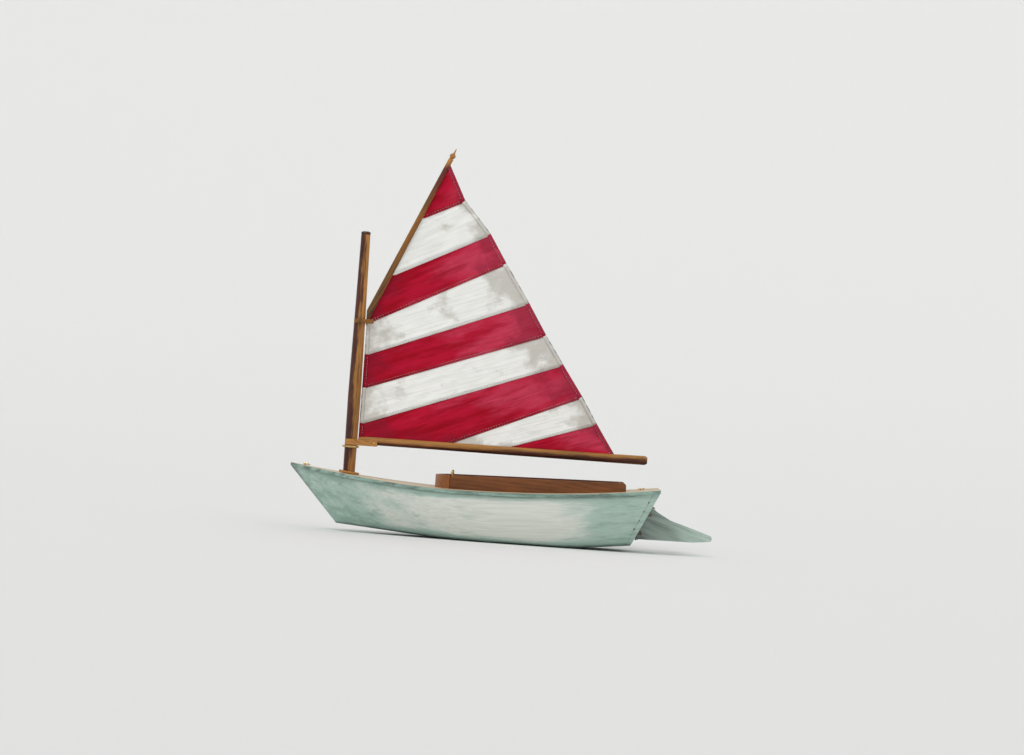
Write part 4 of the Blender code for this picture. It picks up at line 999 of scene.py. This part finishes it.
class TOYBOAT_OT_sail(Maker):
    """Nine cloths sewn edge over edge, with a folded hem on the free edges and rows of stitches"""
    bl_idname = "toyboat.sail"
    bl_label = "Sail"

    def build(self, context):
        self.size = sizes()
        low, high = zip(*(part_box(f"sail_panel_{i + 1}") for i in range(PANELS)))
        self.luff_x = min(p.x for p in low) - self.size.luff_rope
        self.foot_z = min(p.z for p in low)
        self.clew = Vector((max(p.x for p in high), self.foot_z))
        leech = [Vector((high[i].x, high[i + 1].z)) for i in range(PANELS - 1)]
        edge = [Vector((low[i].x if i < 2 else self.luff_x, low[i].z)) for i in range(6)]
        edge += [Vector((low[i + 1].x, self.foot_z)) for i in (6, 7)]
        self.rise = (edge[0].y - edge[1].y) / (edge[0].x - edge[1].x)
        self.peak = Vector((edge[0].x + (high[0].z - edge[0].y) / self.rise, high[0].z))
        self.throat = Vector((self.luff_x, edge[1].y - (edge[1].x - self.luff_x) * self.rise))
        tack = Vector((self.luff_x, self.foot_z))
        lefts = [list(pair) for pair in zip([self.peak, *edge], [*edge, self.clew])]
        lefts[2].insert(1, self.throat)
        lefts[6].insert(1, tack)
        rights = [self.peak, *leech, self.clew]
        self.stitches = []
        for i in range(PANELS):
            self.panel(i, lefts[i], rights[i], rights[i + 1])
        piece("sail_stitches", joined(self.stitches), "thread", "rig", "white_cloth")

    def out(self, x, z):
        """How far the cloth stands out to starboard at a place: nothing along the spars."""
        across = min(max((x - self.luff_x) / (self.clew.x - self.luff_x), 0.0), 1.0)
        if x < self.peak.x:
            top = self.throat.y + (x - self.throat.x) * self.rise
        else:
            share = (x - self.peak.x) / (self.clew.x - self.peak.x)
            top = self.peak.y + (self.foot_z - self.peak.y) * share
        up = min(max((z - self.foot_z) / max(top - self.foot_z, MM), 0.0), 1.0)
        belly = self.size.belly * math.sin(math.pi * up)
        belly *= 0.3 + 0.7 * math.sin(math.pi * across ** 0.8)
        ease = min(math.sin(math.pi * up) * 2.0, 1.0)
        ripple = 0.22 * MM * math.sin(x * 190 + z * 130)
        ripple += 0.16 * MM * math.sin(x * 410 - z * 260 + 1.3)
        creases = 0.25 * MM * math.sin(z * 520) * max(0.0, 1 - across * 7) * ease
        return belly + ripple * ease + creases

    def on_fore_edge(self, left, v):
        """A place on a cloth's forward edge, which may turn a corner at the throat or tack."""
        if len(left) == 2:
            return left[0].lerp(left[1], v)
        above, below = (left[1] - left[0]).length, (left[2] - left[1]).length
        share = above / (above + below)
        if v < share:
            return left[0].lerp(left[1], v / share)
        return left[1].lerp(left[2], (v - share) / (1 - share))

    def panel(self, i, left, right_top, right_foot):
        """One cloth between its two seams, with its laps, hems and stitches."""
        size = self.size
        lap_half = size.lap / 2
        top_seam = (left[0], right_top) if i > 0 else None
        foot_seam = (left[-1], right_foot) if i < PANELS - 1 else None
        bm = bmesh.new()
        bmesh.ops.create_grid(bm, x_segments=size.across, y_segments=ROWS, size=0.5)
        seam_layer = bm.verts.layers.float.new("seam_distance")
        free_layer = bm.verts.layers.float.new("free_edge")
        run_layer = bm.verts.layers.float.new("run_share")
        for vert in bm.verts:
            u, v = vert.co.x + 0.5, 0.5 - vert.co.y
            point = self.on_fore_edge(left, v).lerp(right_top.lerp(right_foot, v), u)
            to_top = self.gap(point, *top_seam) if top_seam else 1.0
            to_foot = self.gap(point, *foot_seam) if foot_seam else 1.0
            shift = 0.0
            if foot_seam:
                point, shift = self.lapped(point, foot_seam, v > 0.999, to_foot, -1, shift)
            if top_seam:
                point, shift = self.lapped(point, top_seam, v < 0.001, to_top, 1, shift)
            to_leech = self.gap(point, right_top, right_foot)
            vert[seam_layer] = min(to_foot if v < 0.999 else lap_half, to_top, to_leech, 1.0)
            luff_side = max(0.0, 1 - u * 4) if i > 1 else 0.0
            vert[free_layer] = min(max((u - 0.72) / 0.28, 0.0) + luff_side, 1.0)
            vert[run_layer] = u
            vert.co = (point.x, self.out(point.x, point.y) + shift, point.y)
        self.hem(bm, right_top, right_foot, -1)
        on_luff = None
        if i in LUFF_PANELS:
            on_luff = {2: left[1:], 6: left[:2]}.get(i, left)
            self.hem(bm, *on_luff, 1)
        uv = bm.loops.layers.uv.new("cloth")
        seam = foot_seam or top_seam
        run = (seam[1] - seam[0]).normalized()
        for face in bm.faces:
            for loop in face.loops:
                flat = Vector((loop.vert.co.x, loop.vert.co.z))
                loop[uv].uv = (flat.dot(run), flat.dot(Vector((-run.y, run.x))))
        bmesh.ops.remove_doubles(bm, verts=bm.verts, dist=0.02 * MM)
        bmesh.ops.recalc_face_normals(bm, faces=bm.faces)
        finish = "red_cloth" if i % 2 == 0 else "white_cloth"
        made = piece(f"sail_cloth_{i + 1}", bm, finish, "rig", finish, smooth=180.0)
        thick = made.modifiers.new("cloth", "SOLIDIFY")
        thick.thickness = size.cloth
        thick.offset = 0.0
        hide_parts(f"sail_panel_{i + 1}")
        self.declare(made, left, right_top, right_foot, run, on_luff)
        if foot_seam:
            for row in (-0.3, 0.3):
                self.sew(*foot_seam, row * size.lap)
        self.sew(right_top, right_foot, -0.8 * size.hem, size.cloth * 0.7)
        if on_luff:
            self.sew(*on_luff, 0.8 * size.hem, size.cloth * 0.7)

    def declare(self, made, left, right_top, right_foot, run, on_luff):
        """Work out how long the cloth's free edges are, the leech and any hemmed luff; nothing is done with the
        sum.
        """
        free = (right_foot - right_top).length
        if on_luff:
            free += (on_luff[1] - on_luff[0]).length

    def hem(self, bm, first, second, side):
        """The free edge folded over on both faces, as narrow strips of the same cloth."""
        seam_layer = bm.verts.layers.float["seam_distance"]
        free_layer = bm.verts.layers.float["free_edge"]
        run_layer = bm.verts.layers.float["run_share"]
        run = (second - first).normalized()
        inward = Vector((-run.y, run.x)) * side
        for face in (-1, 1):
            strip = bmesh.ops.create_grid(bm, x_segments=3, y_segments=ROWS, size=0.5)["verts"]
            for vert in strip:
                u, v = vert.co.x + 0.5, 0.5 - vert.co.y
                point = first.lerp(second, v) + inward * (self.size.hem * u - HEM_OVER)
                lift = (self.size.cloth * 0.9 + 0.12 * MM * math.sin(math.pi * u)) * face
                vert[seam_layer] = u * self.size.hem + HEM_LINE
                vert[free_layer] = 1.0
                vert[run_layer] = 1.0 if side < 0 else 0.0
                vert.co = (point.x, self.out(point.x, point.y) + lift, point.y)

    def gap(self, point, first, second):
        """Distance of a place from the line through two others."""
        run = (second - first).normalized()
        away = point - first
        return abs(away.x * run.y - away.y * run.x)

    def lapped(self, point, seam, at_edge, distance, side, shift):
        """Run a cloth's edge past the seam, and set it to one side of its neighbour."""
        run = (seam[1] - seam[0]).normalized()
        over = Vector((-run.y, run.x)) * side
        if at_edge:
            along = (point - seam[0]).dot(run)
            left_over = (seam[1] - seam[0]).length - along
            reach = min(self.size.lap / 2, along * 0.5, left_over * 2 + 0.2 * MM)
            point = point + over * max(reach, 0.0)
        return point, shift + side * SEAM_LIFT * max(0.0, 1 - distance / SEAM_FADE)

    def sew(self, first, second, aside, lift=0.0):
        """A row of stitches on both faces, a little to one side of a line."""
        run = (second - first).normalized()
        across = Vector((-run.y, run.x))
        start, span = first + across * aside, (second - first).length
        pitch = self.size.stitch * 1.75
        surface_gap = self.size.cloth / 2 + 0.3 * MM + lift
        turn = Vector((0, 0, 1)).rotation_difference(Vector((run.x, 0, run.y))).to_matrix().to_4x4()
        shape = turn @ Matrix.Diagonal((THREAD, THREAD, self.size.stitch, 1.0))
        for i in range(int((span - 4 * MM) / pitch)):
            spot = start + run * (2 * MM + pitch * (i + 0.5))
            if spot.x < self.luff_x + MM or spot.y < self.foot_z + 1.2 * MM:
                continue
            for face in (-1, 1):
                bm = bmesh.new()
                bmesh.ops.create_uvsphere(bm, u_segments=5, v_segments=4, radius=0.5)
                place = Vector((spot.x, self.out(spot.x, spot.y) + face * surface_gap, spot.y))
                bmesh.ops.transform(bm, verts=bm.verts, matrix=Matrix.Translation(place) @ shape)
                self.stitches.append(bm)


# radius and place along the hinge of the turned knuckle in each of the blade's notches, in MM
KNUCKLE = ((0.0, -1.7), (1.85, -1.7), (2.0, -1.55), (2.0, 1.55), (1.85, 1.7), (0.0, 1.7))


class TOYBOAT_OT_rudder(Maker):
    """Rudder blade, its gudgeons on the transom and the rod through them"""
    bl_idname = "toyboat.rudder"
    bl_label = "Rudder"

    def build(self, context):
        from_node("rudder_blade", "rudder_paint", 0.4 * MM, segments=2, angle=50.0)
        hinge = next(joint for joint in frame["joints"] if joint["name"] == "rudder_turn")
        pivot, axis = Vector(hinge["pos_m"]), Vector(hinge["axis"]).normalized()
        knuckle = [(radius * MM, place * MM) for radius, place in KNUCKLE]
        screws, knuckles = [], []
        for node in ("gudgeon_lower", "gudgeon_upper"):
            from_node(node, "bronze", 0.12 * MM, angle=50.0)
            along = [(v.co - pivot).dot(axis) for v in frame["nodes"][node].data.vertices]
            knuckles.append(spun(knuckle, pivot + axis * (min(along) + max(along)) / 2, axis, 32))
            for side in (-1, 1):
                spot = middle_of(node) + Vector((0, side * 3.4 * MM, 0)) - TRANSOM_NORMAL * 0.78 * MM
                screws.append(dome(spot, TRANSOM_NORMAL, 0.9 * MM, 0.4 * MM))
        from_node("rudder_rod", "bronze", 0.15 * MM)
        piece("gudgeon_screws", joined(screws), "bronze", "hull", "brass")
        piece("gudgeon_knuckles", joined(knuckles), "bronze", "hull", "brass")


class TOYBOAT_OT_fittings(Maker):
    """Rings on the deck and the eye near the masthead"""
    bl_idname = "toyboat.fittings"
    bl_label = "Brass fittings"

    def build(self, context):
        for node in ("bow_eye", "sheet_eye", "masthead_eye"):
            from_node(node, "brass", 0.0, smooth=60.0)


PIECE_MAKERS = (
    TOYBOAT_OT_stage, TOYBOAT_OT_hull, TOYBOAT_OT_deck, TOYBOAT_OT_coaming, TOYBOAT_OT_cockpit,
    TOYBOAT_OT_centreboard, TOYBOAT_OT_mast, TOYBOAT_OT_spars, TOYBOAT_OT_sail, TOYBOAT_OT_rudder,
    TOYBOAT_OT_fittings,
)


class TOYBOAT_PT_panel(bpy.types.Panel):
    """Sizes, colours and a button for each maker"""
    bl_label = "Toy boat"
    bl_idname = "TOYBOAT_PT_panel"
    bl_space_type = "VIEW_3D"
    bl_region_type = "UI"
    bl_category = "Toy boat"

    def draw(self, context):
        scene = context.scene
        for settings in (scene.boat_colours, scene.boat_sizes, scene.boat_stage):
            box = self.layout.box()
            for name in settings.__annotations__:
                box.prop(settings, name)
        for maker in PIECE_MAKERS:
            self.layout.operator(maker.bl_idname)


CLASSES = (BoatColours, BoatSizes, StageSettings, *PIECE_MAKERS, TOYBOAT_PT_panel)


def register():
    for cls in CLASSES:
        bpy.utils.register_class(cls)
    bpy.types.Scene.boat_colours = PointerProperty(type=BoatColours)
    bpy.types.Scene.boat_sizes = PointerProperty(type=BoatSizes)
    bpy.types.Scene.boat_stage = PointerProperty(type=StageSettings)


def unregister():
    del bpy.types.Scene.boat_stage
    del bpy.types.Scene.boat_sizes
    del bpy.types.Scene.boat_colours
    for cls in reversed(CLASSES):
        bpy.utils.unregister_class(cls)


def main():
    register()
    for maker in PIECE_MAKERS:
        group, name = maker.bl_idname.split(".")
        getattr(getattr(bpy.ops, group), name)()
    bpy.context.view_layer.update()


if __name__ == "__main__":
    main()
